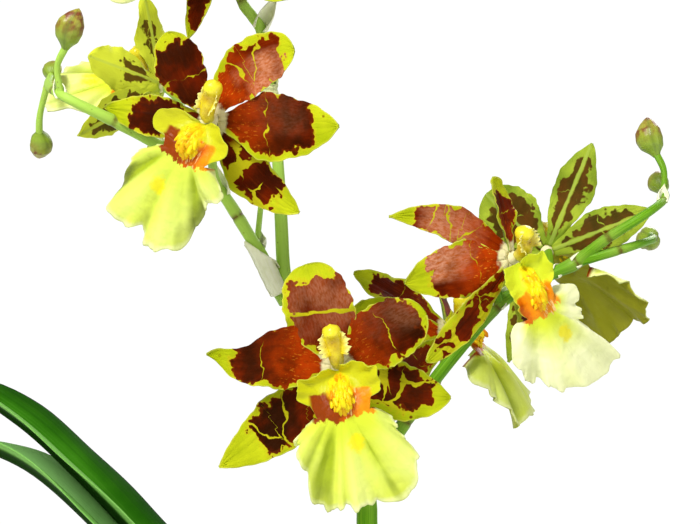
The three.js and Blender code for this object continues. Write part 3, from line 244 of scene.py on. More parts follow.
PEDICELS = [
    [(-39.3, 0, 451.9, 1.6), (-40.5, -8, 457, 1.5), (-40, -18, 464, 1.4), (-37.9, -25.2, 470.6, 1.3)],
    [(-8.5, 4, 398, 1.6), (-7, -8, 399, 1.4), (-4, -26, 399.8, 1.3)],
    [(44.8, -3, 417.8, 1.6), (43, -9, 424, 1.5), (44.2, -17, 429.4, 1.4), (45.8, -21, 431, 1.3)],
    [(61.6, -2.5, 427, 1.5), (60.5, 5, 429, 1.4), (60.8, 13.6, 432.8, 1.3)],
    [(18.5, -2.4, 385, 1.5), (17, 5, 395, 1.4), (21, 11.5, 404, 1.4), (28.2, 13.8, 407.6, 1.3)],
    [(-56.1, 0, 464.2, 1.5), (-52, 10, 471, 1.4), (-53, 20, 480, 1.4), (-57.9, 23.8, 484.8, 1.3)],
    [(-36, 5.8, 521, 1.4), (-37.2, 0, 526, 1.3), (-37.3, -10.4, 529.8, 1.2)],
    [(-42, 7, 552, 1.3), (-30, 5, 553, 1.2), (-15.4, 11.3, 556.8, 1.2)],
    [(-42.6, 7, 562, 1.3), (-52, 13, 571, 1.2), (-62.4, 18.2, 579.8, 1.2)],
    [(-27.9, 0.4, 435.7, 1), (-27.4, 8, 444.3, 0.95), (-27, 14, 452, 0.9), (-27, 17, 457, 0.9)],
    [(-43, 7, 574, 1.1), (-37, 3, 581, 1), (-33, -1, 587, 1)],
    [(-42.6, 6.8, 582, 1), (-38, 12, 589, 1), (-35, 16, 594, 1)],
    [(-86, -4, 479.8, 1.2), (-87, -6, 488, 1), (-84, -8, 494, 1)],
    [(-92.2, 10, 484.4, 1.2), (-95, 14, 476, 1), (-96, 18, 470, 1)],
    [(94, 2, 448.4, 1.1), (95, 5, 457, 1), (93, 8, 463, 1)]]
# A bud: x, y, z of its root, the way it points, length, radius.
BUDS = [
    (-27, 16.5, 456, 0, 0.5, 1, 11, 3), (-41, 6, 591, -0.1, -0.2, 1, 12, 3.4),
    (-33.4, -0.6, 586.4, 0.4, -0.5, 1, 13, 4), (-35.4, 15.6, 593.4, 0.4, 0.5, 1, 11, 3.4),
    (-84.4, -7.8, 493, 0.4, -0.3, 1, 13, 4.2), (-95.8, 17.6, 470.8, -0.1, 0.5, -0.6, 11, 3.6),
    (-93, 21, 487.6, 0.1, 1, 0.5, 10, 3), (93.2, 7.6, 462, -0.2, 0.3, 1, 13, 4.2),
    (97, 20, 452.8, 0, 1, 0.4, 11, 3.4), (93, 18, 437.9, 0, 1, 0, 12, 3.8)]
# A bract at a joint: x, y, z, the way it points, length, radius of the stem it clasps.
BRACTS = [
    (-38, 0, 450, -0.25, -0.1, 1, 10, 2.2), (44, -3, 417, 0.5, -0.3, 1, 7, 2.1),
    (67, -2, 429.6, 0.9, -0.2, 0.7, 7, 1.9), (-8.6, 4, 397, -0.4, -0.2, 1, 8, 2.6),
    (60.8, -2.5, 426.6, 0.8, 0.3, 0.6, 5, 2.0), (18, -2.4, 384, 0.3, 0.4, 1, 8, 2.3),
    (-55.6, 0, 463.8, -0.6, 0.4, 0.7, 8, 2.1), (-36, 5.6, 520, -0.2, -0.5, 1, 8, 1.9),
    (-27.2, 4.6, 500.5, 0.5, -0.3, 1, 12, 2.3),
    (-41.8, 7, 551, 0.4, -0.2, 1, 7, 1.8), (-42.5, 7, 561, -0.5, 0.4, 1, 7, 1.7),
    (-27.6, 0.2, 434.5, 0.1, 0.6, 1, 7, 2.2), (-86, -4, 479.6, -0.3, -0.4, 1, 6, 1.8),
    (93.6, 0, 448, 0.2, 0.2, 1, 6, 1.6), (-43, 7, 573, 0.3, -0.3, 1, 6, 1.6)]
SHEATHS = [
    (MAIN_STEM, 0.16, 0.25), (MAIN_STEM, 0.31, 0.38), (MAIN_STEM, 0.43, 0.485),
    (LEFT_BRANCH, 0.03, 0.18), (MAIN_STEM, 0.755, 0.785)]

# ------------------------------------------------------------------ bulbs, roots, leaves, pot
BULB_BASE = 106
# x, y, height, width, thickness, turn
BULBS = [
    (-40, 21, 56, 27, 16, 12), (-21, 0, 77, 35, 18, -6), (18, 3, 80, 37, 20, 5),
    (43, 18, 50, 25, 15, 14), (0, 31, 62, 31, 16, -12)]
BULB_PROFILE = [
    (0, 0), (0.62, 0.03), (0.92, 0.2), (1, 0.38), (0.92, 0.58), (0.68, 0.78), (0.3, 0.95), (0, 1)]
RHIZOME = [
    (-50, 26, 106, 4), (-40, 20, 108, 5.5), (-21, 3, 108, 6.5), (0, 1, 108, 6.5), (18, 5, 108, 6.5),
    (42, 17, 108, 5.5), (51, 21, 107, 4)]
RHIZOME_BRANCH = [(2, 2, 108, 6), (1, 18, 108, 6), (0, 31, 108, 5.5), (0, 39, 108, 3.5)]
ROOTS = [
    [(-34, 12, 106, 1.9), (-44, -8, 111, 1.9), (-42, -24, 109.5, 1.8), (-34, -36, 100, 1.5)],
    [(30, 8, 106, 2), (36, -14, 112, 2), (42, -26, 109, 1.8), (42, -30, 99, 1.5)],
    [(0, 2, 106, 1.8), (-4, -22, 112, 1.8), (4, -40, 109, 1.7), (8, -47, 99, 1.5)],
    [(-26, 8, 106, 1.8), (-24, 32, 111, 1.8), (-26, 44, 107, 1.6), (-26, 46, 99, 1.4)]]
# width, fold in degrees, the way the hollow faces, the keel from root to tip
LEAVES = [
    (33, 26, (1, -0.25, 1), [
        (-19.5, 1, 177), (-22, 0, 225), (-27, -1, 268), (-37, -2, 304.5), (-51, -2, 332.5), (-67, -2, 350.8),
        (-82, -1, 366.2), (-100, 2, 381.8), (-121, 8, 392.8), (-143, 16, 391.8), (-162, 26, 377)]),
    (31, 26, (1, -0.25, 1), [
        (-23.5, 1, 176), (-29.5, 0, 222), (-37, -1, 260), (-47, -2, 295), (-58, -2, 321), (-69, -1, 341.5),
        (-82, 0, 356), (-99, 4, 368.7), (-118, 12, 373.7), (-137, 22, 368.7), (-152, 32, 352)]),
    (35, 22, (0, 0, 1), [
        (19, 5, 184), (32, 8, 232), (57, 12, 278), (94, 16, 306), (132, 20, 308), (168, 24, 290),
        (192, 28, 262)]),
    (34, 22, (0, 0, 1), [
        (10, 8, 184), (2, 26, 232), (-10, 54, 276), (-26, 90, 300), (-42, 128, 300), (-56, 162, 280),
        (-66, 186, 252)]),
    (32, 26, (0, 0, 1), [
        (35, -4, 101), (51, -16, 156), (78, -32, 204), (112, -52, 234), (146, -72, 238), (176, -88, 218)]),
    (33, 24, (0, 0, 1), [
        (-6, -14, 101), (-13, -33, 156), (-24, -68, 206), (-38, -106, 234), (-50, -144, 236),
        (-60, -178, 214)]),
    (31, 24, (0, 0, 1), [
        (-3, 33, 166), (8, 52, 212), (26, 82, 250), (50, 116, 270), (76, 150, 266), (98, 178, 242)]),
    (28, 28, (0, 0, 1), [
        (43.5, 18.5, 149), (60, 25, 200), (86, 38, 240), (116, 52, 262), (148, 66, 258), (176, 78, 234)]),
    (32, 26, (0, 0, 1), [
        (-33, -10, 101), (-56, -20, 154), (-88, -36, 200), (-122, -52, 226), (-156, -66, 226),
        (-184, -78, 202)])]
POT_HEIGHT = 122
POT_FOOT_RADIUS = 52
POT_TOP_RADIUS = 69
POT_RIM_RADIUS = 75
POT_RIM_HEIGHT = 21
POT_WALL = 6
POT_FLOOR = 7
BARK_TOP = 103


# ------------------------------------------------------------------ meshes
def smooth(x):
    x = np.clip(x, 0, 1)
    return x * x * (3 - 2 * x)


def enclosed(points, quads, tris):
    """The volume inside the faces: negative where they face inwards."""
    corners = np.vstack([quads[:, [0, 1, 2]], quads[:, [0, 2, 3]], tris])
    a, b, c = (points[corners[:, k]] - points.mean(0) for k in range(3))
    return np.einsum("ij,ij->i", a, np.cross(b, c)).sum() / 6


class Parts:
    """Collects closed skins, in millimetres, into one mesh with a value at each point for each key."""

    def __init__(self, *keys):
        self.points, self.quads, self.tris = [], [], []
        self.values = {key: [] for key in keys}

    def add(self, points, quads, values, tris=()):
        points = np.reshape(points, (-1, 3))
        tris = np.reshape(tris, (-1, 3)).astype(int)
        if enclosed(points, quads, tris) < 0:
            quads, tris = quads[:, ::-1], tris[:, ::-1]
        start = sum(len(held) for held in self.points)
        self.points.append(points)
        self.quads.append(quads + start)
        self.tris.append(tris + start)
        for key, held in self.values.items():
            held.append(np.broadcast_to(np.ravel(values.get(key, 0.0)), len(points)))

    def piece(self, name, material):
        """A smooth mesh, with one FLOAT attribute for each key."""
        faces = [np.concatenate(self.quads), np.concatenate(self.tris)]
        corners = np.concatenate([face.ravel() for face in faces])
        sizes = np.concatenate([np.full(len(face), face.shape[1]) for face in faces])
        starts = np.cumsum(sizes) - sizes
        points = np.concatenate(self.points) * MM
        mesh = bpy.data.meshes.new(name)
        mesh.vertices.add(len(points))
        mesh.vertices.foreach_set("co", points.astype(np.float32).ravel())
        mesh.loops.add(len(corners))
        mesh.loops.foreach_set("vertex_index", corners.astype(np.int32))
        mesh.polygons.add(len(sizes))
        mesh.polygons.foreach_set("loop_start", starts.astype(np.int32))
        mesh.polygons.foreach_set("use_smooth", np.ones(len(sizes), bool))
        mesh.update(calc_edges=True)
        for key, held in self.values.items():
            data = mesh.attributes.new(key, "FLOAT", "POINT").data
            data.foreach_set("value", np.concatenate(held).astype(np.float32))
        mesh.validate()
        piece = bpy.data.objects.new(name, mesh)
        bpy.context.scene.collection.objects.link(piece)
        mesh.materials.append(material)
        return piece


def grid_quads(rows, columns, wrap=False):
    i, j = np.meshgrid(np.arange(rows - 1), np.arange(columns if wrap else columns - 1), indexing="ij")
    nxt = (j + 1) % columns
    return np.stack([i * columns + j, i * columns + nxt, (i + 1) * columns + nxt, (i + 1) * columns + j],
                    -1).reshape(-1, 4)


def normals_of(grid):
    """Unit normals of a (rows, columns, 3) grid, along rows x across."""
    down = np.gradient(grid, axis=0)
    across = np.gradient(grid, axis=1)
    normal = np.cross(across, down)
    length = np.linalg.norm(normal, axis=-1, keepdims=True)
    normal = normal / np.maximum(length, 1e-9)
    bad = length[..., 0] < 1e-7
    if bad.any():
        normal[bad] = normal[~bad].mean(0)
    return normal


def add_sheet(parts, grid, above, below, values, **marks):
    """A closed sheet: its faces lie above and below the grid; a mark differs from face to face."""
    rows, columns = grid.shape[:2]
    count = rows * columns
    lift = normals_of(grid)
    index = np.arange(count).reshape(rows, columns)
    borders = ((index[0, 1:], index[0, :-1]), (index[-1, :-1], index[-1, 1:]),
               (index[:-1, 0], index[1:, 0]), (index[1:, -1], index[:-1, -1]))
    edges = [np.stack([one, two, two + count, one + count], -1) for one, two in borders]
    quads = grid_quads(rows, columns)
    spread = {key: np.tile(np.broadcast_to(value, (rows, columns)).ravel(), 2)
              for key, value in values.items()}
    spread.update({key: np.repeat(pair, count) for key, pair in marks.items()})
    above, below = np.asarray(above)[..., None], np.asarray(below)[..., None]
    faces = np.vstack([quads, quads[:, ::-1] + count] + edges)
    parts.add([grid + lift * above, grid - lift * below], faces, spread)


def add_rings(parts, grid, values, first=None, last=None):
    """A skin over rings of points, closed at the end points that are given."""
    rows, sides = grid.shape[:2]
    j = np.arange(sides)
    following = (j + 1) % sides
    base = (rows - 1) * sides
    points = grid.reshape(-1, 3)
    spread = {key: np.broadcast_to(value, (rows, sides)).ravel() for key, value in values.items()}
    tris = []
    caps = (first, following, j, 0), (last, base + j, base + following, base + sides - 1)
    for end, near, ahead, like in caps:
        if end is not None:
            tris.append(np.stack([np.full(sides, len(points)), near, ahead], -1))
            points = np.vstack([points, end])
            spread = {key: np.append(value, value[like]) for key, value in spread.items()}
    parts.add(points, grid_quads(rows, sides, wrap=True), spread, tris)


def spline(points, count, start=0, stop=1):
    """Catmull-Rom through the points, evenly spaced, extra columns carried along, and its length."""
    points = np.asarray(points, float)
    full = np.vstack([2 * points[0] - points[1], points, 2 * points[-1] - points[-2]])
    t = np.linspace(0, 1, 24, endpoint=False)[:, None]
    dense = []
    for i in range(len(points) - 1):
        p0, p1, p2, p3 = full[i:i + 4]
        dense.append(0.5 * (2 * p1 + (p2 - p0) * t + (2 * p0 - 5 * p1 + 4 * p2 - p3) * t * t
                            + (3 * p1 - p0 - 3 * p2 + p3) * t ** 3))
    dense = np.vstack(dense + [points[-1:]])
    width = min(3, points.shape[1])
    run = np.r_[0, np.cumsum(np.linalg.norm(np.diff(dense[:, :width], axis=0), axis=1))]
    places = np.linspace(start, stop, count) * run[-1]
    return np.stack([np.interp(places, run, dense[:, i]) for i in range(points.shape[1])], 1), run[-1]


def beside(way):
    """A direction at right angles to the given one."""
    side = np.cross(way, (0.0, 1.0, 0.0))
    return np.cross(way, (1.0, 0.0, 0.0)) if np.linalg.norm(side) < 0.2 else side


def frames_along(path):
    """Tangents and two sides that turn as little as possible."""
    tangent = np.gradient(path, axis=0)
    tangent /= np.linalg.norm(tangent, axis=1, keepdims=True)
    side = beside(tangent[0])
    sides = []
    for way in tangent:
        side = side - way * side.dot(way)
        side = side / np.linalg.norm(side)
        sides.append(side)
    sides = np.array(sides)
    return tangent, sides, np.cross(tangent, sides)


def axes_towards(way):
    """Axes whose last one points along the way."""
    way = np.array(way, float)
    way /= np.linalg.norm(way)
    side = beside(way)
    side /= np.linalg.norm(side)
    return np.stack([side, np.cross(way, side), way], 1)


def once_round(sides):
    return 2 * math.pi * np.arange(sides) / sides


def outward(angle, one, two):
    """Directions round a line, at an angle between the two sides of its frames."""
    return np.cos(angle)[..., None] * one[:, None] + np.sin(angle)[..., None] * two[:, None]


def grid_of(x, y, z):
    """Points from three arrays, each of them spread over the others' rows and columns."""
    return np.stack(np.broadcast_arrays(x, y, z), -1)


def add_tube(parts, path, radius, sides, values, ripple=lambda t, angle: 1):
    """A round tube: radius and values are given along it; ripple(t, angle) swells it."""
    _, one, two = frames_along(path)
    angle = once_round(sides)
    radius = radius[:, None] * ripple(np.linspace(0, 1, len(path))[:, None], angle)
    rings = path[:, None] + radius[..., None] * outward(angle, one, two)
    spread = {key: value[:, None] if np.ndim(value) else value for key, value in values.items()}
    add_rings(parts, rings, dict(spread, around=angle), path[0], path[-1])


def about_z(turn):
    cos, sin = math.cos(turn), math.sin(turn)
    return np.array([[cos, -sin, 0], [sin, cos, 0], [0, 0, 1]])


def turn_of(yaw, pitch, roll):
    """Columns are the world directions of r (right), u (up) and n (facing)."""
    yaw, pitch, roll = (math.radians(v) for v in (yaw, pitch, roll))
    cos, sin = math.cos(pitch), math.sin(pitch)
    about_x = np.array([[1, 0, 0], [0, cos, sin], [0, -sin, cos]])
    cos, sin = math.cos(roll), math.sin(roll)
    about_y = np.array([[cos, 0, sin], [0, 1, 0], [-sin, 0, cos]])
    return about_z(yaw) @ about_x @ about_y @ np.array([[1, 0, 0], [0, 0, -1], [0, 1, 0]], float)


# ------------------------------------------------------------------ material nodes
def linear(color):
    """A display colour, 0 to 255, as the linear values the shader takes."""
    parts = [part / 255 for part in color]
    return (*(part / 12.92 if part <= 0.04045 else ((part + 0.055) / 1.055) ** 2.4 for part in parts), 1.0)


class Field:
    """A value that varies over a surface; arithmetic with it adds the nodes."""

    def __init__(self, shader, socket):
        self.shader = shader
        self.socket = socket

    def __add__(self, other):
        return self.shader.math("ADD", self, other)

    def __sub__(self, other):
        return self.shader.math("SUBTRACT", self, other)

    def __rsub__(self, other):
        return self.shader.math("SUBTRACT", other, self)

    def __mul__(self, other):
        return self.shader.math("MULTIPLY", self, other)

    def __abs__(self):
        return self.shader.math("ABSOLUTE", self)

    def step(self, low, high, to_low=0.0, to_high=1.0):
        """Runs smoothly from to_low, where the value is low, to to_high, where it is high."""
        inputs = {"Value": self, "From Min": low, "From Max": high, "To Min": to_low, "To Max": to_high}
        return self.shader.add("ShaderNodeMapRange", "Result", inputs, interpolation_type="SMOOTHSTEP")


class Shader:
    """A material whose nodes are added and linked by the methods."""

    def __init__(self, name, **settings):
        self.material = bpy.data.materials.new(name)
        self.material.use_nodes = True
        self.tree = self.material.node_tree
        self.surface = self.tree.nodes["Principled BSDF"].inputs
        for key, value in settings.items():
            self.surface[key.replace("_", " ")].default_value = value

    def put(self, socket, value):
        if isinstance(value, Field):
            self.tree.links.new(value.socket, socket)
        else:
            socket.default_value = value

    def add(self, kind, output, inputs, **settings):
        node = self.tree.nodes.new(kind)
        for key, value in settings.items():
            setattr(node, key, value)
        for key, value in inputs.items():
            self.put(node.inputs[key], value)
        return Field(self, node.outputs[output])

    def attr(self, name):
        return self.add("ShaderNodeAttribute", "Fac", {}, attribute_name=name)

    def attrs(self, *names):
        return [self.attr(name) for name in names]

    def math(self, kind, *values):
        return self.add("ShaderNodeMath", 0, dict(enumerate(values)), operation=kind)

    def vector(self, x, y, z):
        return self.add("ShaderNodeCombineXYZ", 0, {"X": x, "Y": y, "Z": z})

    def scaled(self, vector, by, start=(0.0, 0.0, 0.0)):
        return self.add("ShaderNodeVectorMath", 0, {0: vector, 1: by, 2: start}, operation="MULTIPLY_ADD")

    def place(self, axis=None):
        """The place on the object in metres, or one of its coordinates."""
        place = self.add("ShaderNodeTexCoord", "Object", {})
        return self.add("ShaderNodeSeparateXYZ", axis, {0: place}) if axis else place

    def millimetres(self):
        return self.scaled(self.place(), (1000.0, 1000.0, 1000.0))

    def noise(self, vector, scale, detail=3.0, rough=0.55, out="Fac"):
        inputs = {"Vector": vector, "Scale": scale, "Detail": detail, "Roughness": rough}
        return self.add("ShaderNodeTexNoise", out, inputs)

    def cells(self, vector, scale, feature="F1", **inputs):
        inputs.update(Vector=vector, Scale=scale)
        return self.add("ShaderNodeTexVoronoi", "Distance", inputs, feature=feature)

    def mix(self, amount, a, b):
        """From colour a to colour b; a colour of three numbers is a display colour, 0 to 255."""
        a, b = (linear(one) if isinstance(one, tuple) and len(one) == 3 else one for one in (a, b))
        return self.add("ShaderNodeMix", 2, {0: amount, 6: a, 7: b}, data_type="RGBA")

    def finish(self, color, rough, height, distance, strength):
        """Fills in the surface; height is a relief of so many metres."""
        inputs = {"Height": height, "Distance": distance, "Strength": strength}
        self.put(self.surface["Base Color"], color)
        self.put(self.surface["Roughness"], rough)
        self.put(self.surface["Normal"], self.add("ShaderNodeBump", "Normal", inputs))
        return self.material


LIME = (188, 196, 26)
LIME_SHADE = (158, 172, 14)
MAHOGANY_LIGHT = (140, 52, 4)
MAHOGANY = (102, 24, 0)
MAHOGANY_DARK = (66, 13, 0)
PAINTED_SHADE_BROWN = (38, 12, 1)
PAINTED_SHEEN_BROWN = (168, 84, 28)
PAINTED_SHEEN_PINK = (224, 168, 140)
THROAT_RED = (178, 58, 4)
GOLD_FLECK = (236, 150, 40)
BASE_WHITE = (238, 230, 180)
BACK_BROWN = (92, 38, 16)
BACK_DARK = (54, 20, 8)


def tepal_material():
    """Brown scalloped blotches on lime yellow in front; olive with a pale midrib behind."""
    s = Shader("tepal_skin", IOR=1.42, Specular_IOR_Level=0.06, Specular_Tint=(1.0, 0.62, 0.34, 1.0))
    across, along, seed = s.attrs("across", "along", "seed")
    margin, from_tip, v = s.attrs("margin", "from_tip", "v")
    flat = s.vector(across, along, seed)
    # how far inside the blotched area a point is, in millimetres
    rough_edge = s.noise(flat, 0.26, 1.5, 0.5) * 4.4 - 2.2
    lobes = s.cells(flat, 0.3, "SMOOTH_F1", Randomness=0.9, Smoothness=0.25) * -5.0 + 2.2
    small = s.cells(flat, 0.85) * -1.3 + 0.6
    inside = s.math("MINIMUM", margin - s.attr("rim"), from_tip - s.attr("tip"))
    ragged = lobes * 0.62 + rough_edge + small
    inside = inside + ragged * s.attr("place").step(0.05, 0.3, 0.2, 1.0)
    # thin broken yellow lines across and along
    wander = s.noise(flat, 0.2, 2.5, 0.5) * 7.0 - 3.5
    broken = s.noise(flat, 0.24, 1.5, 0.5) * 3.2 - 1.5
    across_line = abs(wander * s.attr("stray") + s.attr("crack"))
    across_line = across_line - s.attr("line")
    along_line = abs(s.attr("split") + wander)
    nearest = s.math("MINIMUM", across_line, along_line + 0.1)
    crack = (nearest - broken * 0.42).step(0.16, -0.14)
    bent = s.scaled(s.noise(flat, 0.22, 2, 0.5, out="Color"), (5.0, 5.0, 0.0), flat)
    channel = s.cells(bent, 0.105, "DISTANCE_TO_EDGE")
    width = s.attr("islands") * s.noise(flat, 0.13, 1, 0.5).step(0.35, 0.65, -0.01, 0.1)
    channel = (channel - width).step(0.012, -0.004)
    crack = s.math("MAXIMUM", crack, channel * s.attr("islands").step(0.05, 0.2))
    crack = crack * s.attr("place").step(0.14, 0.3)
    # small stray dots
    dots = s.cells(flat, 0.4).step(0.24, 0.15) * s.noise(flat, 0.2, 1).step(0.56, 0.6)
    dots = dots * inside.step(-4.0, -2.0)
    brown = inside.step(-0.1, 0.2) * (1.0 - crack)
    brown = s.math("MAXIMUM", brown, dots * 0.9)
    # colour of the brown, with painted shade and a painted sheen
    cloud = s.noise(flat, 0.12, 3, 0.55)
    veins = s.noise(s.vector(across * 1.5, along * 0.14, seed), 1.0, 3, 0.6)
    deep = s.mix(cloud.step(0.32, 0.68), MAHOGANY_DARK, MAHOGANY)
    deep = s.mix(veins.step(0.52, 0.74, 0.0, 0.3), deep, MAHOGANY_LIGHT)
    # painted shade: darker brown in patches, as strong as the tepal's dark value
    painted_shade = s.attr("dark") * cloud.step(0.8, 0.4)
    deep = s.mix(painted_shade, deep, PAINTED_SHADE_BROWN)
    # painted sheen: a lighter satin brown and pink glints stand in for the light the tepal reflects
    sheen_mask = s.attr("mauve") * s.noise(flat, 0.07, 2, 0.5).step(0.34, 0.62)
    sheen_mask = sheen_mask * s.attr("place").step(0.15, 0.4)
    sheen_mask = sheen_mask * (s.attr("shine") * v).step(-0.5, 0.0)
    deep = s.mix(sheen_mask * 0.5, deep, PAINTED_SHEEN_BROWN)
    glint_grain = s.noise(s.vector(across * 1.7, along * 0.75, seed), 1.0, 4, 0.6)
    painted_glint = sheen_mask * glint_grain.step(0.26, 0.72)
    deep = s.mix(painted_glint * 0.23, deep, PAINTED_SHEEN_PINK)
    deep = s.mix(inside.step(1.2, 0.05, 0.0, 0.35), deep, MAHOGANY_LIGHT)
    # glowing throat with golden streaks
    reach = s.noise(flat, 0.15, 2, 0.5) * 0.4 + s.attr("place")
    throat = reach.step(0.86, 0.4) * s.attr("place").step(0.04, 0.14, 0.5, 1.0)
    throat = throat * s.attr("glow")
    throat = throat * s.noise(flat, 0.2, 3, 0.6).step(0.28, 0.6, 0.3, 0.85)
    deep = s.mix(throat, deep, THROAT_RED)
    fleck = s.noise(s.vector(across * 1.5, along * 0.4, seed), 1.3, 3, 0.7)
    fleck = fleck.step(0.58, 0.7) * s.attr("place").step(0.5, 0.2)
    deep = s.mix(fleck * s.attr("glow") * 0.7, deep, GOLD_FLECK)
    # the yellow ground
    ground = s.mix(s.noise(flat, 0.09, 3, 0.5).step(0.3, 0.7), LIME, LIME_SHADE)
    ground = s.mix(veins.step(0.55, 0.75, 0.0, 0.3), ground, (132, 140, 22))
    ground = s.mix(inside.step(-1.0, 0.0, 0.0, 0.3), ground, (206, 160, 30))
    ground = s.mix(margin.step(0.5, 0.0, 0.0, 0.5), ground, (214, 210, 92))
    front = s.mix(brown, ground, deep)
    patch = (s.noise(flat, 0.5, 2) * 3.0 + along).step(5.0, 3.4)
    front = s.mix(patch, front, BASE_WHITE)
    # the back: olive yellow, pale midrib, the blotches showing through
    back = s.mix(s.noise(flat, 0.1, 3, 0.5).step(0.3, 0.72), (168, 186, 56), (116, 142, 36))
    back = s.mix(veins.step(0.5, 0.72, 0.0, 0.35), back, (98, 122, 32))
    back = s.mix(s.attr("fresh") * 0.85, back, (224, 230, 62))
    behind = inside + (s.noise(flat, 0.24, 2) * 4.4 - 2.4)
    rib_width = s.noise(flat, 0.3, 2, 0.5) * 1.6 - 0.35
    through = behind.step(-0.1, 0.6) * (abs(across) - rib_width).step(-0.1, 0.35)
    through = through * (1.0 - crack)
    back = s.mix(through * 0.92, back, s.mix(cloud.step(0.3, 0.7), BACK_BROWN, BACK_DARK))
    back = s.mix(abs(across).step(0.7, 0.15, 0.0, 0.4), back, (176, 196, 92))
    skin = s.mix(s.attr("back"), front, back)
    rough = s.noise(flat, 0.5, 3).step(0.3, 0.7, 0.36, 0.5)
    ridges = s.noise(s.vector(across * 1.8, along * 0.1, seed), 1.0, 2, 0.5)
    height = s.noise(flat, 3.0, 2, 0.5) * 0.22 + ridges
    return s.finish(skin, rough, height, 0.0003, 0.45)


def lip_material():
    """Lime to cream yellow, pleated, with a brown-orange bar across the narrow part."""
    s = Shader("lip_skin", Roughness=0.42, IOR=1.42, Specular_IOR_Level=0.2)
    x, y, seed, pale = s.attrs("lx", "ly", "seed", "pale")
    green = s.attr("green")
    flat = s.vector(x, y, seed)
    cloud = s.noise(flat, 0.07, 3, 0.5)
    lime = s.mix(cloud.step(0.3, 0.72), (224, 234, 42), (208, 222, 28))
    lime = s.mix(green, lime, (204, 222, 78))
    ear = s.attr("out").step(0.1, 0.0, 0.0, 0.85) * pale.step(0.9, 0.5)
    lime = s.mix(ear, lime, (196, 194, 8))
    cream = s.mix(cloud.step(0.3, 0.7), (226, 240, 96), (232, 244, 140))
    cream = s.mix(pale.step(0.6, 1.1), cream, (252, 255, 196))
    outward = s.attr("out").step(0.12, 0.8)
    cream_share = outward * (pale * 0.7 + 0.35)
    color = s.mix(cream_share, lime, cream)
    fold = s.attr("fold")
    uneven = s.noise(flat, 0.16, 3, 0.55) * 0.7 - 0.35
    # painted shade: olive in the valleys of the folds, less on paler lips and towards the rim
    painted_valley_shade = (fold + uneven).step(0.0, -0.85)
    painted_valley_shade = painted_valley_shade * (pale * -0.6 + 1.05)
    color = s.mix(painted_valley_shade * s.attr("out").step(1.08, 0.72), color, (150, 170, 8))
    # painted highlight: paler on the ridges of the folds, more towards the rim
    color = s.mix(fold.step(0.15, 0.9) * (outward * 0.5), color, (244, 252, 150))
    # painted shadow: dark olive near the rim in the valleys, as strong as green
    shadow = (s.noise(flat, 0.4, 2) * 0.22 + s.attr("out")).step(0.7, 1.0)
    shadow = shadow * fold.step(-0.05, -0.6) * green
    color = s.mix(shadow * 0.95, color, (98, 112, 30))
    rim = (s.noise(flat, 0.5, 2) * -1.6 + s.attr("margin")).step(1.5, -0.4)
    rim = rim * s.attr("out").step(0.1, 0.3)
    rim = rim * (1.0 - shadow)
    color = s.mix(rim * 0.6, color, (246, 250, 190))
    veins = s.noise(s.vector(s.attr("fan") * 34.0, s.attr("out") * 2.2, seed), 1.0, 3, 0.65)
    color = s.mix(veins.step(0.48, 0.7) * 0.1, color, (188, 200, 36))
    spot = s.attr("spot") - s.noise(flat, 0.8, 2) * 2.4
    color = s.mix(spot.step(1.7, 0.1) * 0.8, color, (236, 222, 6))
    # bar across the isthmus: brown on the left and above, orange on the right, a ragged lower edge
    teeth = s.noise(s.vector(x, y * 0.5, seed), 0.55, 3, 0.6)
    lower = teeth * 7.0 + (abs(x) * 0.16 - 5.9)
    below = (y - lower).step(-0.25, 0.35)
    upper = s.noise(flat, 0.3, 3) * 3.2 + 4.6
    above = (y - upper).step(0.5, -0.4)
    width = abs(x).step(s.attr("half") + 1.9, s.attr("half") + 0.6)
    bar = below * above * width
    sweep = x + s.attr("tone") + (s.noise(flat, 0.3, 3) * 8.0 - 4.6)
    tint = s.mix(sweep.step(-3.4, -0.6), (140, 56, 0), (194, 84, 2))
    tint = s.mix(sweep.step(0.8, 6.0), tint, (234, 142, 10))
    streak = s.noise(s.vector(x * 1.5, y * 0.3, seed), 1.0, 3, 0.6)
    streak = streak.step(0.52, 0.62) * abs(x - 2.4).step(3.2, 1.4)
    tint = s.mix(streak * 0.8, tint, (248, 222, 150))
    tint = s.mix(s.noise(flat, 0.9, 3, 0.7).step(0.58, 0.72, 0.0, 0.35), tint, (176, 74, 8))
    color = s.mix(bar * s.attr("front"), color, tint)
    # the warty crest and the claw
    crest = s.attr("crest")
    gold = s.mix(s.noise(flat, 0.5, 3, 0.6).step(0.42, 0.68), (240, 220, 24), (236, 176, 12))
    gold = s.mix(s.noise(flat, 1.1, 2, 0.6).step(0.56, 0.68, 0.0, 0.75), gold, (222, 112, 8))
    color = s.mix(crest, color, gold)
    # the back is duller and greener
    back = s.mix(cloud.step(0.3, 0.7), (206, 212, 84), (176, 186, 58))
    back = s.mix(veins.step(0.5, 0.72, 0.0, 0.4), back, (150, 158, 44))
    # painted shade: lips with little cream get a dark olive back, as if shaded
    back = s.mix(pale.step(0.3, 0.15, 0.0, 0.8), back, (138, 134, 2))
    color = s.mix(1.0 - s.attr("front"), color, back)
    rough = s.noise(flat, 0.6, 3).step(0.3, 0.7, 0.3, 0.46)
    crumple = s.noise(flat, 0.3, 3, 0.5)
    height = s.noise(flat, 3.5, 2) * 0.1 + (veins * 0.16 + crumple * 1.5)
    return s.finish(color, rough, height, 0.0006, 0.6)


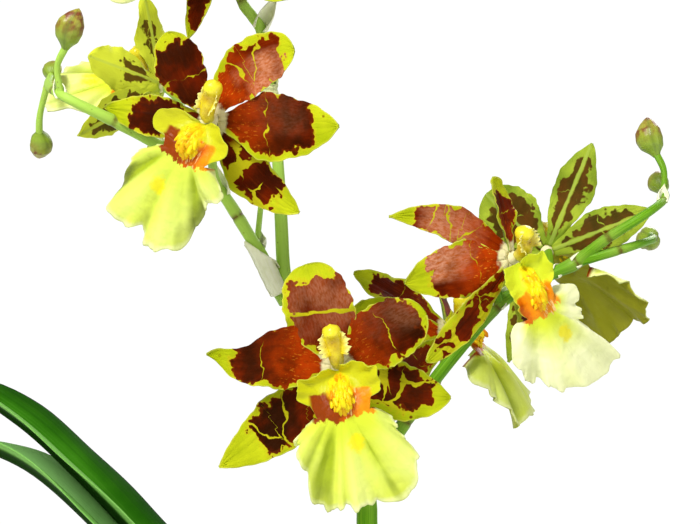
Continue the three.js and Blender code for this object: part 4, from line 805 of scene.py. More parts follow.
def column_material():
    """Waxy golden column, darker hollow and brown specks under the cap, pale fringed wings."""
    s = Shader("column_skin", Roughness=0.3, IOR=1.45, Specular_IOR_Level=0.55)
    place = s.attr("place")
    here = s.millimetres()
    cloud = s.noise(here, 0.35, 3, 0.55)
    color = s.mix(cloud.step(0.3, 0.7), (226, 208, 26), (200, 172, 14))
    color = s.mix(place.step(0.35, 0.0, 0.0, 0.6), color, (222, 220, 96))
    color = s.mix(s.attr("cap") * 0.8, color, (240, 226, 40))
    color = s.mix(s.attr("hollow") * 0.7, color, (176, 138, 14))
    speck = s.cells(here, 1.5)
    speck = speck.step(0.34, 0.2) * s.noise(here, 0.7, 2).step(0.5, 0.56)
    near = s.math("MAXIMUM", s.attr("specks"), s.attr("wing") * 0.5)
    color = s.mix(speck * near, color, (104, 44, 12))
    edge = s.attr("wing") * s.attr("out").step(0.3, 1.0)
    color = s.mix(edge * 0.7, color, (250, 248, 150))
    rough = s.noise(here, 0.8, 2).step(0.3, 0.7, 0.22, 0.38)
    return s.finish(color, rough, s.noise(here, 1.1, 3), 0.0003, 0.5)


def stem_material():
    """Bright green, yellowish and brown-tinged at the joints, finely striped along."""
    s = Shader("stem_skin", Roughness=0.34, IOR=1.45, Specular_IOR_Level=0.22,
               Specular_Tint=(0.8, 1.0, 0.6, 1.0))
    along, around = s.attrs("along", "around")
    turned = s.vector(s.math("SINE", around), s.math("COSINE", around), along * 0.05)
    here = s.millimetres()
    stripes = s.noise(s.scaled(turned, (6.0, 6.0, 1.0)), 1.0, 3, 0.6)
    color = s.mix(stripes.step(0.32, 0.68), (80, 140, 10), (122, 176, 34))
    # painted light: the upper part of the main stem and the left branch are painted paler, as if lit
    upper = s.place("Z").step(0.385, 0.43) * s.place("X").step(0.0, -0.012)
    color = s.mix(upper * 0.75, color, (186, 224, 96))
    blush = s.attr("blush") * s.noise(here, 0.09, 3, 0.6).step(0.34, 0.62)
    color = s.mix(blush * 0.8, color, (150, 84, 34))
    color = s.mix(s.attr("joint") * 0.45, color, (156, 184, 74))
    ring = s.attr("ring") * s.noise(here, 0.5, 2).step(0.3, 0.6, 0.4, 1.0)
    color = s.mix(ring, color, (94, 66, 26))
    specks = s.cells(here, 0.55).step(0.2, 0.08) * s.noise(here, 0.13, 1).step(0.52, 0.6)
    color = s.mix(specks * 0.5, color, (86, 84, 28))
    rough = stripes.step(0.3, 0.7, 0.28, 0.42)
    height = s.noise(here, 1.2, 2) * 0.4 + stripes
    return s.finish(color, rough, height, 0.0003, 0.5)


def papery_material(name, pale, tan, dark):
    """Dry papery tissue: long fibres, darker torn edges, stains."""
    s = Shader(name, Roughness=0.72, IOR=1.4, Specular_IOR_Level=0.3, Sheen_Weight=0.3)
    along, around, seed = s.attrs("along", "around", "seed")
    turned = s.vector(around * 5.0, along * 0.05, seed)
    fibre = s.noise(turned, 1.0, 4, 0.7)
    here = s.millimetres()
    stain = s.noise(here, 0.12, 4, 0.6)
    color = s.mix(fibre.step(0.3, 0.7), pale, tan)
    color = s.mix(stain.step(0.5, 0.72, 0.0, 0.35), color, dark)
    color = s.mix(s.attr("ragged") * 0.4, color, dark)
    rough = fibre.step(0.3, 0.7, 0.5, 0.7)
    return s.finish(color, rough, fibre, 0.0003, 0.6)


def bud_material():
    """Green bud with brown flush towards its tip, darker along its seams."""
    s = Shader("bud_skin", Roughness=0.36, IOR=1.45, Specular_IOR_Level=0.5)
    place, around = s.attrs("place", "around")
    here = s.millimetres()
    cloud = s.noise(here, 0.28, 3, 0.55)
    color = s.mix(place.step(0.1, 0.9), (132, 160, 44), (166, 160, 54))
    color = s.mix(cloud.step(0.42, 0.62) * place.step(0.2, 0.7), color, (122, 62, 26))
    color = s.mix(s.attr("seam"), color, (92, 110, 30))
    stripes = s.noise(s.vector(around * 4.0, place * 1.4, 0.0), 1.0, 2)
    rough = cloud.step(0.3, 0.7, 0.3, 0.44)
    return s.finish(color, rough, stripes, 0.0004, 0.6)


def leaf_material():
    """Leathery dark green with parallel veins, a pale midrib groove and fine blemishes."""
    s = Shader("leaf_skin", Roughness=0.42, IOR=1.42, Specular_IOR_Level=0.01,
               Specular_Tint=(0.55, 1.0, 0.4, 1.0))
    across, along, seed, v = s.attrs("across", "along", "seed", "v")
    flat = s.vector(across, along, seed)
    thin = s.noise(s.vector(across * 2.0, along * 0.012, seed), 1.0, 3, 0.6)
    broad = s.noise(s.vector(across * 0.45, along * 0.006, seed), 1.0, 2, 0.5)
    cloud = s.noise(flat, 0.03, 4, 0.55)
    young = s.attr("young")
    old_green = s.mix(cloud.step(0.3, 0.7), (28, 86, 6), (52, 122, 18))
    new_green = s.mix(cloud.step(0.3, 0.7), (62, 128, 22), (88, 150, 34))
    color = s.mix(young, old_green, new_green)
    color = s.mix(thin.step(0.48, 0.72, 0.0, 0.16), color, (104, 162, 60))
    color = s.mix(broad.step(0.5, 0.7, 0.0, 0.3), color, (18, 66, 6))
    color = s.mix(abs(across).step(0.9, 0.2, 0.0, 0.5), color, (120, 172, 70))
    fresh = young.step(0.7, 0.9)
    color = s.mix(fresh * cloud.step(0.2, 0.7, 0.4, 0.8), color, (134, 186, 112))
    shaded = v.step(0.15, 0.9, 0.0, 0.75) * (1.0 - fresh)
    color = s.mix(shaded, color, (10, 52, 2))
    # painted highlight: a pale band along one margin, front and back; a thin dark line along the other
    # margin
    color = s.mix(v.step(-0.36, -0.74, 0.0, 0.85), color, (118, 178, 82))
    dry = s.noise(flat, 0.35, 4, 0.7) * 12.0 + s.attr("from_tip")
    color = s.mix(dry.step(11.5, 8.0), color, (136, 112, 56))
    color = s.mix(dry.step(22.0, 10.0, 0.0, 0.5), color, (150, 154, 50))
    spots = s.cells(flat, 0.16).step(0.1, 0.04) * s.noise(flat, 0.04, 1).step(0.55, 0.65)
    color = s.mix(spots * 0.7, color, (52, 60, 16))
    under = s.mix(thin.step(0.4, 0.7), (62, 116, 34), (84, 138, 52))
    under = s.mix(cloud.step(0.3, 0.7, 0.0, 0.4), under, (50, 98, 26))
    # painted shade darkens the underside towards the keel; a painted highlight band runs along one margin
    under = s.mix(abs(v).step(0.75, 0.3, 0.0, 0.85), under, (10, 40, 4))
    under = s.mix(v.step(-0.46, -0.72, 0.0, 0.9), under, (136, 196, 98))
    color = s.mix(s.attr("back"), color, under)
    color = s.mix(v.step(0.955, 0.99, 0.0, 0.9), color, (10, 30, 4))
    rough = thin.step(0.3, 0.7, 0.36, 0.46)
    rough = s.attr("back") * 0.12 + rough
    height = broad * 1.2 + thin * 0.5
    return s.finish(color, rough, height, 0.0004, 0.4)


def bulb_material():
    """Smooth green bulb, yellower on its ridges, with brown flecks and a scarred foot."""
    s = Shader("bulb_skin", Roughness=0.36, IOR=1.45, Specular_IOR_Level=0.5, Coat_Weight=0.1,
               Coat_Roughness=0.3)
    here = s.millimetres()
    ridge, place = s.attrs("ridge", "place")
    cloud = s.noise(here, 0.05, 4, 0.6)
    color = s.mix(cloud.step(0.3, 0.7), (96, 128, 44), (136, 156, 62))
    color = s.mix(ridge * 0.5, color, (170, 178, 86))
    long_marks = s.noise(s.scaled(here, (1.0, 1.0, 0.12)), 0.55, 4, 0.65)
    color = s.mix(long_marks.step(0.5, 0.75, 0.0, 0.5), color, (88, 104, 40))
    fleck = s.cells(here, 0.3).step(0.2, 0.08) * s.noise(here, 0.07, 2).step(0.5, 0.6)
    color = s.mix(fleck * 0.8, color, (84, 54, 26))
    color = s.mix((cloud * 0.2 + place).step(0.22, 0.08, 0.0, 0.8), color, (112, 92, 48))
    color = s.mix(place.step(0.93, 1.0, 0.0, 0.8), color, (150, 140, 84))
    rough = cloud.step(0.3, 0.7, 0.3, 0.46)
    height = s.noise(here, 0.9, 3) * 0.4 + long_marks
    return s.finish(color, rough, height, 0.0006, 0.6)


def root_material():
    """Pale grey-green velamen with brown scars; the rhizome is brown and scaly."""
    s = Shader("root_skin", Roughness=0.7, IOR=1.4, Specular_IOR_Level=0.3)
    here = s.millimetres()
    woody = s.attr("woody")
    cloud = s.noise(here, 0.2, 4, 0.6)
    color = s.mix(cloud.step(0.3, 0.7), (184, 184, 160), (146, 152, 118))
    scar = s.noise(s.scaled(here, (1.0, 1.0, 0.7)), 0.5, 4, 0.7).step(0.55, 0.68)
    color = s.mix(scar * 0.7, color, (120, 96, 62))
    bark = s.mix(cloud.step(0.3, 0.7), (128, 100, 62), (92, 66, 38))
    rings = s.math("SINE", s.noise(here, 0.1, 2) * 6.0 + s.attr("along") * 1.4)
    bark = s.mix(rings.step(0.6, 1.0, 0.0, 0.7), bark, (66, 44, 24))
    color = s.mix(woody, color, bark)
    height = rings * woody * 0.6 + s.noise(here, 0.8, 4, 0.65)
    return s.finish(color, cloud.step(0.3, 0.7, 0.6, 0.82), height, 0.0009, 0.8)


def bark_material():
    """Chips of fir bark: dark red-brown, layered, dusty on top."""
    s = Shader("bark_chips_skin", Roughness=0.85, IOR=1.4, Specular_IOR_Level=0.25)
    here = s.millimetres()
    tone = s.attr("tone")
    grain = s.noise(s.vector(s.attr("gx"), s.attr("gy") * 3.5, s.attr("gz") * 5.0), 0.35, 5, 0.7)
    color = s.mix(tone, (70, 42, 26), (124, 84, 54))
    color = s.mix(grain.step(0.35, 0.65), color, (48, 28, 18))
    color = s.mix(s.noise(here, 0.35, 4, 0.7).step(0.56, 0.75, 0.0, 0.6), color, (150, 116, 82))
    height = s.noise(here, 1.2, 4, 0.7) * 0.5 + grain
    return s.finish(color, grain.step(0.3, 0.7, 0.75, 0.95), height, 0.0018, 1.0)


def clay_material():
    """Terracotta: throwing lines, mottling, mineral bloom low down, darker damp foot."""
    s = Shader("terracotta", Roughness=0.85, IOR=1.45, Specular_IOR_Level=0.25)
    here = s.millimetres()
    height_mm = s.place("Z") * 1000.0
    cloud = s.noise(here, 0.02, 5, 0.6)
    color = s.mix(cloud.step(0.3, 0.7), (192, 104, 68), (170, 84, 54))
    speck = s.noise(here, 0.9, 4, 0.7)
    color = s.mix(speck.step(0.55, 0.7, 0.0, 0.5), color, (214, 138, 100))
    color = s.mix(speck.step(0.4, 0.3, 0.0, 0.4), color, (130, 62, 42))
    bloom = s.noise(s.scaled(here, (1.0, 1.0, 0.45)), 0.045, 5, 0.65).step(0.48, 0.68)
    bloom = bloom * height_mm.step(96.0, 15.0, 0.15, 0.75)
    color = s.mix(bloom, color, (222, 190, 168))
    damp = (cloud * 14.0 + height_mm).step(20.0, 7.0, 0.0, 0.45)
    color = s.mix(damp, color, (118, 62, 42))
    rings = s.math("SINE", s.noise(here, 0.015, 2) * 3.0 + height_mm * 2.3)
    lines = s.noise(s.vector(0.0, 0.0, height_mm), 1.1, 3, 0.6)
    height = speck * 0.5 + (rings * 0.25 + lines)
    return s.finish(color, cloud.step(0.3, 0.7, 0.78, 0.92), height, 0.0006, 0.7)


TEPAL = tepal_material()
LIP = lip_material()
COLUMN = column_material()
STEM = stem_material()
SHEATH = papery_material("sheath_paper", (226, 230, 172), (202, 208, 142), (150, 154, 84))
CREAM = papery_material("cream_paper", (254, 254, 228), (246, 248, 206), (214, 216, 150))
SCALE = papery_material("bulb_paper", (196, 176, 126), (158, 130, 82), (92, 66, 38))
BUD = bud_material()
LEAF = leaf_material()
BULB = bulb_material()
ROOT = root_material()
BARK = bark_material()
CLAY = clay_material()


def dress(piece, slot, *nodes):
    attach(piece, "root")
    if nodes:
        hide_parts(*nodes)


# ------------------------------------------------------------------ flowers
FRONT_BLOOMS = 3  # the blooms that face the viewer come first and have the finest meshes
TEPAL_GRIDS = (60, 25), (48, 19)  # rows and columns of the front blooms' tepals, then of the others'
LIP_GRIDS = (44, 54, 145), (27, 32, 81)  # the same for lips: rows of the claw, rows of the lobe, columns
HUB_RADIUS = 2.1
TEPAL_ROOT = 2.0  # how far from the hub's middle a tepal starts, mm
TEPAL_LOOK = dict(mauve=0.03, glow=0.6, dark=0.15, islands=0.0, stray=1.0, line=0.0, shine=0.0, tip=4.5)
FAR = 99.0  # a distance, in mm, that keeps a marking away


def tepal_grid(one, rows, columns):
    """Points of a tepal in the bloom's own r, u, n axes, with its flat coordinates."""
    angle = math.radians(one["angle"])
    out = np.array([math.sin(angle), math.cos(angle), 0])
    beside = np.array([math.cos(angle), -math.sin(angle), 0])
    facing = np.array([0.0, 0, 1])
    lift, bend = one.get("lift", 0), one.get("bend", 0)
    sweep, turn, twist = one.get("sweep", 0), one.get("turn", 0), one.get("twist", 0)
    cup, wave = one.get("cup", 0.1), one.get("wave", 0.06)

    def axes(place):
        rise = math.radians(lift + bend * place ** 1.5)
        aside = math.radians(sweep * place)
        rolled = math.radians(turn + twist * place)
        ahead = math.cos(aside) * out + math.sin(aside) * beside
        across = math.cos(aside) * beside - math.sin(aside) * out
        along = math.cos(rise) * ahead + math.sin(rise) * facing
        top = math.cos(rise) * facing - math.sin(rise) * ahead
        wide = math.cos(rolled) * across + math.sin(rolled) * top
        thick = math.cos(rolled) * top - math.sin(rolled) * across
        return along, wide, thick

    seed = one["seed"]
    v = np.sin(np.linspace(-1, 1, columns) * math.pi / 2 * 0.94) / math.sin(math.pi / 2 * 0.94)
    places = 1 - (1 - np.linspace(0, 1, rows)) ** 1.25
    spine = out * TEPAL_ROOT
    grid, half_widths = [], []
    steps = 4
    last = 0.0
    for place in places:
        for k in range(steps):
            here = last + (place - last) * (k + 0.5) / steps
            spine = spine + axes(here)[0] * one["length"] * (place - last) / steps
        last = place
        _, wide, thick = axes(place)
        opening = one["base"] + (1 - one["base"]) * smooth(place / one["shoulder"])
        half = max(one["width"] / 2 * opening * (1 - place ** one["m"]) ** one["k"], 0.35)
        frill = 0.035 * one["width"] * (
            np.sin(place * 23 + seed * 3 + v * 1.5) + 0.6 * np.sin(place * 41 + seed * 7 - v * 2))
        ripple = np.sin(4 * math.pi * place + np.where(v > 0, 1.9, 0)) * smooth(place / 0.3)
        off = cup * half * v * v + wave * one["width"] / 2 * np.abs(v) ** 2.5 * ripple
        off = off + frill * 0.5 * np.abs(v) ** 3 * smooth(place / 0.25)
        off = off - 0.30 * np.exp(-(v / 0.07) ** 2) * (1 - place) ** 0.5
        off = off + 0.16 * np.cos(v * 17 + seed) * (1 - np.abs(v)) * smooth(place / 0.2)
        jag = 0.022 * np.sin(place * 31 + seed * 5 + np.sign(v)) + 0.016 * np.sin(place * 67 + seed * 11)
        middle, spread, aside = one.get("skew", (0.5, 0.2, 0.0))
        slide = aside * math.exp(-((place - middle) / spread) ** 2)
        for middle, spread, depth in one.get("dents", ()):
            # depth in mm: positive takes from the v > 0 margin, negative from the other one
            taken = depth * np.clip(v * np.sign(depth), 0, 1) ** 2
            slide = slide - taken * math.exp(-((place - middle) / spread) ** 2)
        aside = slide + half * v * (1 + jag * np.abs(v))
        grid.append(spine + wide * aside[:, None] + thick * off[:, None])
        half_widths.append(half)
    return np.array(grid), places, v, np.array(half_widths)


def build_tepals(bloom, number):
    parts = Parts("across", "along", "seed", "margin", "from_tip", "v", "place", "rim", "crack", "split",
                  "fresh", "back", *TEPAL_LOOK)
    hub = np.array(bloom["hub"], float)
    axes = turn_of(*bloom["face"])
    rows, columns = TEPAL_GRIDS[number >= FRONT_BLOOMS]
    for index, one in enumerate(bloom["tepals"]):
        one["seed"] = number * 7.3 + index * 1.7 + 0.4
        grid, places, v, half = tepal_grid(one, rows, columns)
        place, half, length = places[:, None], half[:, None], one["length"]
        across, along = half * v, place * length
        less = (1 - one.get("brown", 0.95)) * 5.0
        left, right = one.get("rim", (1.2, 1.2))
        crack = np.full(across.shape, 9.0)
        for middle, slope in one.get("cracks", ((0.5, 0.2),)):
            nearer = along - middle * length - slope * across
            crack = np.where(np.abs(nearer) < np.abs(crack), nearer, crack)
        middle, start, stop = one.get("split", (FAR, 0, 0))
        beyond = np.maximum(np.maximum(start * length - along, along - stop * length), 0)
        values = dict(
            across=across, along=along, seed=one["seed"] * 3.1, margin=half * (1 - np.abs(v)),
            from_tip=length - along, v=v, place=place, crack=crack, fresh=bloom.get("fresh", 0.0),
            rim=left + (right - left) * smooth(0.5 + v / 0.6) + less,
            split=across - middle + np.sign(across - middle) * beyond)
        values.update({key: one.get(key, usual) for key, usual in TEPAL_LOOK.items()})
        body = 0.42 * (1 - np.abs(v) ** 4) * (1 - 0.35 * place) + 0.10
        keel = 0.45 * np.exp(-(v / 0.09) ** 2) * (1 - place)
        add_sheet(parts, hub + grid @ axes.T, body * 0.8, body * 0.8 + keel, values, back=(0.0, 1.0))
    # the small boss the tepals stand on
    add_blob(parts, hub, axes, HUB_RADIUS, dict(margin=9.0, from_tip=40.0, rim=30.0, crack=9.0, split=FAR),
             rings=9, sides=20, rough=0.0)
    dress(parts.piece(bloom["name"] + "_tepals_skin", TEPAL), "tepal", bloom["name"] + "_tepals")


LIP_ROOT = np.array([0, -1.5, 3.0])
# broad folds of a lip's lobe: degrees from its middle, spread in degrees, height in mm
PLAIN_FOLDS = ((-54, 10, 0.9), (-26, 9, -1.7), (-3, 9, 1.6), (21, 7, -1.3), (45, 12, 1.1))


def ruffle(angles, seed):
    """Uneven scallops along a lip's rim: broad waves, small waves and where the small ones show."""
    drift = np.sin(angles * 0.085 + seed * 1.7)
    broad = np.sin(angles * 0.27 + seed + 1.3 * drift)
    small = np.sin(angles * 0.56 + seed * 2.3 + 2.4 * drift)
    small = small - 0.45 * np.cos(angles * 1.12 + seed * 4.6 + 4.8 * drift)
    share = 0.55 + 0.45 * np.sin(angles * 0.09 + seed * 3.1)
    return broad, small, share


def lip_surface(bloom, claw_rows, lobe_rows, columns):
    """The lip in the bloom's own axes: claw with ears, then the broad folded lobe."""
    lip = bloom["lip"]
    half, scale, sag, seed = lip["half"], lip.get("scale", 1), lip.get("sag", -4), lip["seed"]
    outline = np.array(lip.get("outline", PLAIN_OUTLINE), float)
    local = turn_of(*bloom["face"]).T @ turn_of(*lip["face"])
    neck = np.array(lip["neck"], float)
    claw = (LIP_ROOT - neck) @ local
    s = np.linspace(-1, 1, columns)
    a = np.abs(s)
    left, right = (spline(ear, claw_rows + 1)[0] for ear in lip.get("ears", PLAIN_EARS))
    crumpled = lip.get("crinkle", 1.0)
    phase = seed + np.sign(s)
    rows, flat = [], []
    for k in range(claw_rows + 1):
        t = k / claw_rows
        arch = math.sin(math.pi * t)
        ear = np.where((s < 0)[:, None], left[k], right[k])
        x = claw[0] * (1 - t) * (1 - a) + ear[:, 0] * a
        y = claw[1] * (1 - t) * (1 - a) + ear[:, 1] * a
        middle = claw[2] * (1 - t) + 4 * arch
        z = middle * (1 - 0.65 * a) + arch * a * a - 2.5 * np.sin(math.pi * a) * arch
        crinkle = np.sin(23 * t + phase * 2) + 0.7 * np.sin(41 * t + phase * 5)
        shrink = 1 + 0.038 * crumpled * crinkle * a ** 5 * arch ** 0.5
        waves = 0.55 * np.sin(7 * a + 15 * t + phase) + 0.45 * np.sin(29 * t + phase * 3)
        z = z + crumpled * waves * a ** 3 * arch
        core = smooth((t - 0.10) / 0.16) * (1 - smooth((t - 0.78) / 0.12)) * np.exp(-(s / 0.25) ** 4)
        ribs = 0.62 + 0.38 * np.cos(2 * math.pi * s / 0.165)
        knobs = 0.5 + 0.5 * np.sin(40 * t + 5 * np.cos(15 * s)) * np.cos(26 * s + 3)
        rows.append(grid_of(x * shrink, y * shrink, z + core * (0.7 + 1.1 * ribs + 0.5 * knobs)))
        flat.append(np.zeros(columns))
    angles = np.linspace(outline[0, 0], outline[-1, 0], columns)
    knots, _ = spline(outline, 400)
    radius = np.interp(angles, knots[:, 0], knots[:, 1]) * scale
    turn = np.radians(angles)
    relief = np.zeros(columns)
    for place, spread, tall in lip.get("folds", PLAIN_FOLDS):
        relief = relief + tall * np.exp(-((angles - place) / spread) ** 2)
    broad, small, share = ruffle(angles, seed)
    for k in range(1, lobe_rows + 1):
        out = k / lobe_rows
        frill = out ** 4 * (0.85 * np.sin(angles * 0.27 + seed + 2.1) + 0.35 * broad)
        frill = frill + out ** 8 * 0.6 * small * share
        edge = 1 + out ** 6 * (0.030 * broad + 0.030 * small * share)
        for middle, spread, depth in lip.get("nicks", ()):
            edge = edge - depth / radius * out ** 8 * np.exp(-((angles - middle) / spread) ** 2)
        reach = radius * out * edge
        z = sag * out ** 2 + 1.25 * relief * smooth(out / 0.55) * (0.55 + 0.45 * out) + frill
        rows.append(grid_of(s * half * (1 - out) + reach * np.sin(turn), -reach * np.cos(turn), z))
        flat.append(np.full(columns, out))
    grid = np.array(rows)
    return grid, neck + grid @ local.T, np.array(flat), s, radius, relief


def add_blob(parts, centre, axes, size, values, rings=9, sides=14, rough=0.12, seed=0.0):
    """A lumpy closed ellipsoid."""
    lat = np.linspace(-math.pi / 2, math.pi / 2, rings)[:, None]
    lon = once_round(sides)
    ball = grid_of(np.cos(lat) * np.cos(lon), np.cos(lat) * np.sin(lon), np.sin(lat))
    lumps = 1 + rough * np.sin(ball[..., 0] * 5 + seed) * np.cos(ball[..., 1] * 4 + seed * 2) \
        + rough * 0.6 * np.sin(ball[..., 2] * 7 + seed * 3)
    add_rings(parts, centre + ball * lumps[..., None] * size @ axes.T, values)


# part of the claw, part of its half width, radius, length, how far it leans down the claw
WARTS = (
    (0.82, -0.19, 0.62, 1.5, 1.5), (0.85, -0.09, 0.70, 1.9, 1.8), (0.86, 0.02, 0.75, 2.1, 1.9),
    (0.85, 0.13, 0.68, 1.8, 1.8), (0.81, 0.22, 0.60, 1.4, 1.5), (0.76, -0.04, 0.75, 1.8, 1.4),
    (0.76, 0.09, 0.72, 1.7, 1.4), (0.70, -0.25, 0.65, 1.5, 1.4), (0.70, 0.27, 0.65, 1.5, 1.4),
    (0.64, -0.15, 0.80, 1.9, 2.6), (0.66, 0.01, 0.85, 2.0, 2.6), (0.64, 0.16, 0.80, 1.9, 2.6),
    (0.50, -0.19, 0.80, 1.9, 3.0), (0.50, -0.06, 0.85, 2.0, 3.0), (0.50, 0.08, 0.85, 2.0, 3.0),
    (0.50, 0.20, 0.80, 1.9, 3.0), (0.35, -0.10, 0.85, 1.8, 3.0), (0.35, 0.10, 0.85, 1.8, 3.0))
WART_LOOK = dict(crest=1.0, front=1.0, pale=0.0, margin=5.0, spot=20.0, fold=1.0)
LIP_LOOK = dict(half=7.5, pale=0.45, tone=1.5, green=0.2)


def build_lip(bloom, number):
    lip = dict(LIP_LOOK, **bloom["lip"], seed=number * 2.3 + 0.7)
    bloom["lip"] = lip
    axes = turn_of(*bloom["face"])
    claw_rows, lobe_rows, columns = LIP_GRIDS[number >= FRONT_BLOOMS]
    plane, grid, out, s, radius, relief = lip_surface(bloom, claw_rows, lobe_rows, columns)
    grid = np.array(bloom["hub"], float) + grid @ axes.T
    x, y = plane[..., 0], plane[..., 1]
    from_side = 1 - np.abs(s)
    parts = Parts("lx", "ly", "out", "fold", "margin", "fan", "spot", "seed", "front", "crest", *LIP_LOOK)
    spot = lip.get("spot", (1.0, -9.5))
    t = np.clip(np.arange(len(grid)) / claw_rows, 0, 1)[:, None]
    crest = smooth((t - 0.05) / 0.1) * (1 - smooth((t - 0.80) / 0.08))
    values = dict(
        lx=x, ly=y, out=out, fan=s, seed=lip["seed"],
        fold=np.where(out > 0, relief * 0.5 * smooth(out * 2.5), 0.6),
        margin=np.where(out > 0, np.minimum((1 - out) * radius, from_side * radius * 1.2), from_side * 9),
        spot=np.hypot(x - spot[0], (y - spot[1]) * 0.8),
        crest=crest * smooth(2.2 - 6.2 * np.abs(s) + 0.25 * np.sin(26 * t)))
    values.update({key: lip[key] for key in LIP_LOOK})
    body = 0.34 * (1 - np.abs(s) ** 6) * (1 - 0.5 * out ** 3) + 0.12
    add_sheet(parts, grid, body, body, values, front=(0.0, 1.0))
    # warty crest: ridges and teeth along the claw
    normal = -normals_of(grid)
    scale = 1.0 if number < 5 else 0.9
    for place, side, size, tall, droop in WARTS:
        i = int(round(place * claw_rows))
        j = int(round((side + 1) / 2 * (columns - 1)))
        forward = grid[i + 3, j] - grid[i, j]
        forward = forward / np.linalg.norm(forward)
        lean = normal[i, j] + droop * forward
        lean = lean / np.linalg.norm(lean)
        across = np.cross(lean, forward)
        across = across / np.linalg.norm(across)
        turn = np.stack([across, np.cross(across, lean), lean], 1)
        look = dict(WART_LOOK, lx=side * 8, ly=place * 10, seed=lip["seed"] + place, half=lip["half"])
        radii = np.array([size, size * 0.9, tall]) * scale
        at = grid[i, j] + lean * tall * 0.35 * scale
        add_blob(parts, at, turn, radii, look, seed=place * 9 + side * 5 + number)
    dress(parts.piece(bloom["name"] + "_lip_skin", LIP), "lip", bloom["name"] + "_lip")


def build_column(bloom, number):
    length, forward = bloom.get("column", (11, 5))
    hub = np.array(bloom["hub"], float)
    axes = turn_of(*bloom["face"])
    parts = Parts("place", "seed", "cap", "hollow", "specks", "wing", "out")
    # up, forward, radius along the middle of the column
    stations = [
        (0, 0.05 * length, 2.8, 1.8), (0, 0.2 * length, forward * 0.5 + 2.2, 2.15),
        (0, 0.4 * length, forward * 0.9 + 1.0, 2.3), (0, 0.7 * length, forward + 1.2, 2.5),
        (0, 0.92 * length, forward + 1.8, 2.65), (0, 1.06 * length, forward + 2.3, 2.1),
        (0, 1.15 * length, forward + 2.6, 0.7)]
    path, _ = spline(stations, 34)
    t = np.linspace(0, 1, len(path))[:, None]
    radius = path[:, 3:] * (1 - smooth((t - 0.93) / 0.07) * 0.75)
    _, one, two = frames_along(path[:, :3])
    # the side that faces forward carries the stigma hollow and the cap's lip
    direction = outward(once_round(28), one, two)
    facing = np.clip(direction @ (0.0, -0.55, 0.83), 0, 1)
    hollow = facing ** 3 * np.exp(-((t - 0.60) / 0.10) ** 2)
    cap = smooth((t - 0.70) / 0.06)
    groove = np.exp(-((t - 0.72) / 0.018) ** 2)
    beak = facing ** 4 * np.exp(-((t - 0.78) / 0.06) ** 2)
    swell = 1 - 0.30 * hollow + 0.03 * cap - 0.06 * groove + 0.12 * beak
    skin = path[:, None, :3] + direction * (radius * swell)[..., None]
    specks = facing * np.exp(-((t - 0.66) / 0.12) ** 2)
    values = dict(place=t, cap=cap, hollow=np.clip(hollow * 1.2, 0, 1), specks=np.clip(specks * 1.5, 0, 1),
                  seed=number)
    add_rings(parts, hub + skin @ axes.T, values, hub + axes @ path[0, :3], hub + axes @ path[-1, :3])
    # fringed wings beside the hollow
    rows, columns = 15, 29
    for side in (-1, 1):
        o = np.linspace(0, 1, rows)[:, None]
        q = np.linspace(0, 1, columns)
        if side > 0:
            q = q[::-1]
        drift = 2.0 * np.sin(q * 5 + number + side)
        fringe = 1 + 0.20 * np.sin(q * 25 + drift) * o ** 2
        fringe = fringe + 0.15 * np.sin(q * 57 + side + 2 * drift) * o ** 3
        width = 2.7 * np.sin(math.pi * (0.16 + 0.76 * q)) ** 0.7
        reach = 1.6 + width * o * fringe * bloom.get("wings", 1.0)
        up = length * (0.30 + 0.56 * q) + (q - 0.5) * o * 1.2
        on = forward + 1.6 + 1.6 * o - 0.5 * np.sin(math.pi * q) * o + 0.22 * np.sin(q * 26) * o ** 2
        grid = hub + grid_of(side * reach, up, on) @ axes.T
        body = 0.26 * (1 - 0.6 * o)
        add_sheet(parts, grid, body, body, dict(wing=1.0, out=o, place=0.6, seed=number))
    dress(parts.piece(bloom["name"] + "_column_skin", COLUMN), "column", bloom["name"] + "_column")


for number, bloom in enumerate(BLOOMS):
    build_tepals(bloom, number)
    build_lip(bloom, number)
    build_column(bloom, number)


# ------------------------------------------------------------------ spike
# each stem with the places of its joints, as parts of its length
STEMS = (
    (MAIN_STEM, (0.2, 0.34, 0.455, 0.52, 0.585, 0.63, 0.77, 0.83, 0.9, 0.95)),
    (LEFT_BRANCH, (0.08, 0.24, 0.42, 0.62, 0.8)),
    (RIGHT_BRANCH, (0.16, 0.44, 0.62, 0.7, 0.86)),
    (RIGHT_FORK, (0.3, 0.7)))
RINGS_A_POINT = 14


def build_stems():
    parts = Parts("along", "around", "blush", "joint", "ring")
    for index, (stations, joints) in enumerate(STEMS):
        path, length = spline(stations, len(stations) * RINGS_A_POINT)
        t = np.linspace(0, 1, len(path))
        away = np.min([np.abs(t - place) for place in joints], 0) * length
        joint = np.exp(-(away / 4.5) ** 2)
        ring = np.exp(-(away / 0.7) ** 2)
        blush = 0.7 * smooth((path[:, 2] - 512) / 20) if index == 0 else 0.0
        values = dict(along=t * length, blush=blush, joint=joint, ring=ring)
        add_tube(parts, path[:, :3], path[:, 3] * (1 + 0.10 * joint - 0.10 * ring), 24, values,
                 lambda t, a: 1 + 0.018 * np.cos(5 * a + 9 * t) + 0.012 * np.cos(9 * a))
    for stations in PEDICELS:
        path, length = spline(stations, 34)
        t = np.linspace(0, 1, len(path))
        ovary = smooth((t - 0.45) / 0.4)
        values = dict(along=t * length, blush=0.12, joint=np.exp(-(t / 0.08) ** 2),
                      ring=np.exp(-(t / 0.04) ** 2))
        add_tube(parts, path[:, :3], path[:, 3] * (0.92 + 0.16 * ovary), 18, values,
                 lambda t, a: 1 + 0.09 * smooth((t - 0.35) / 0.4) * np.cos(3 * a + 5 * t))
    dress(parts.piece("spike_stems", STEM), "stem", "flower_spike")


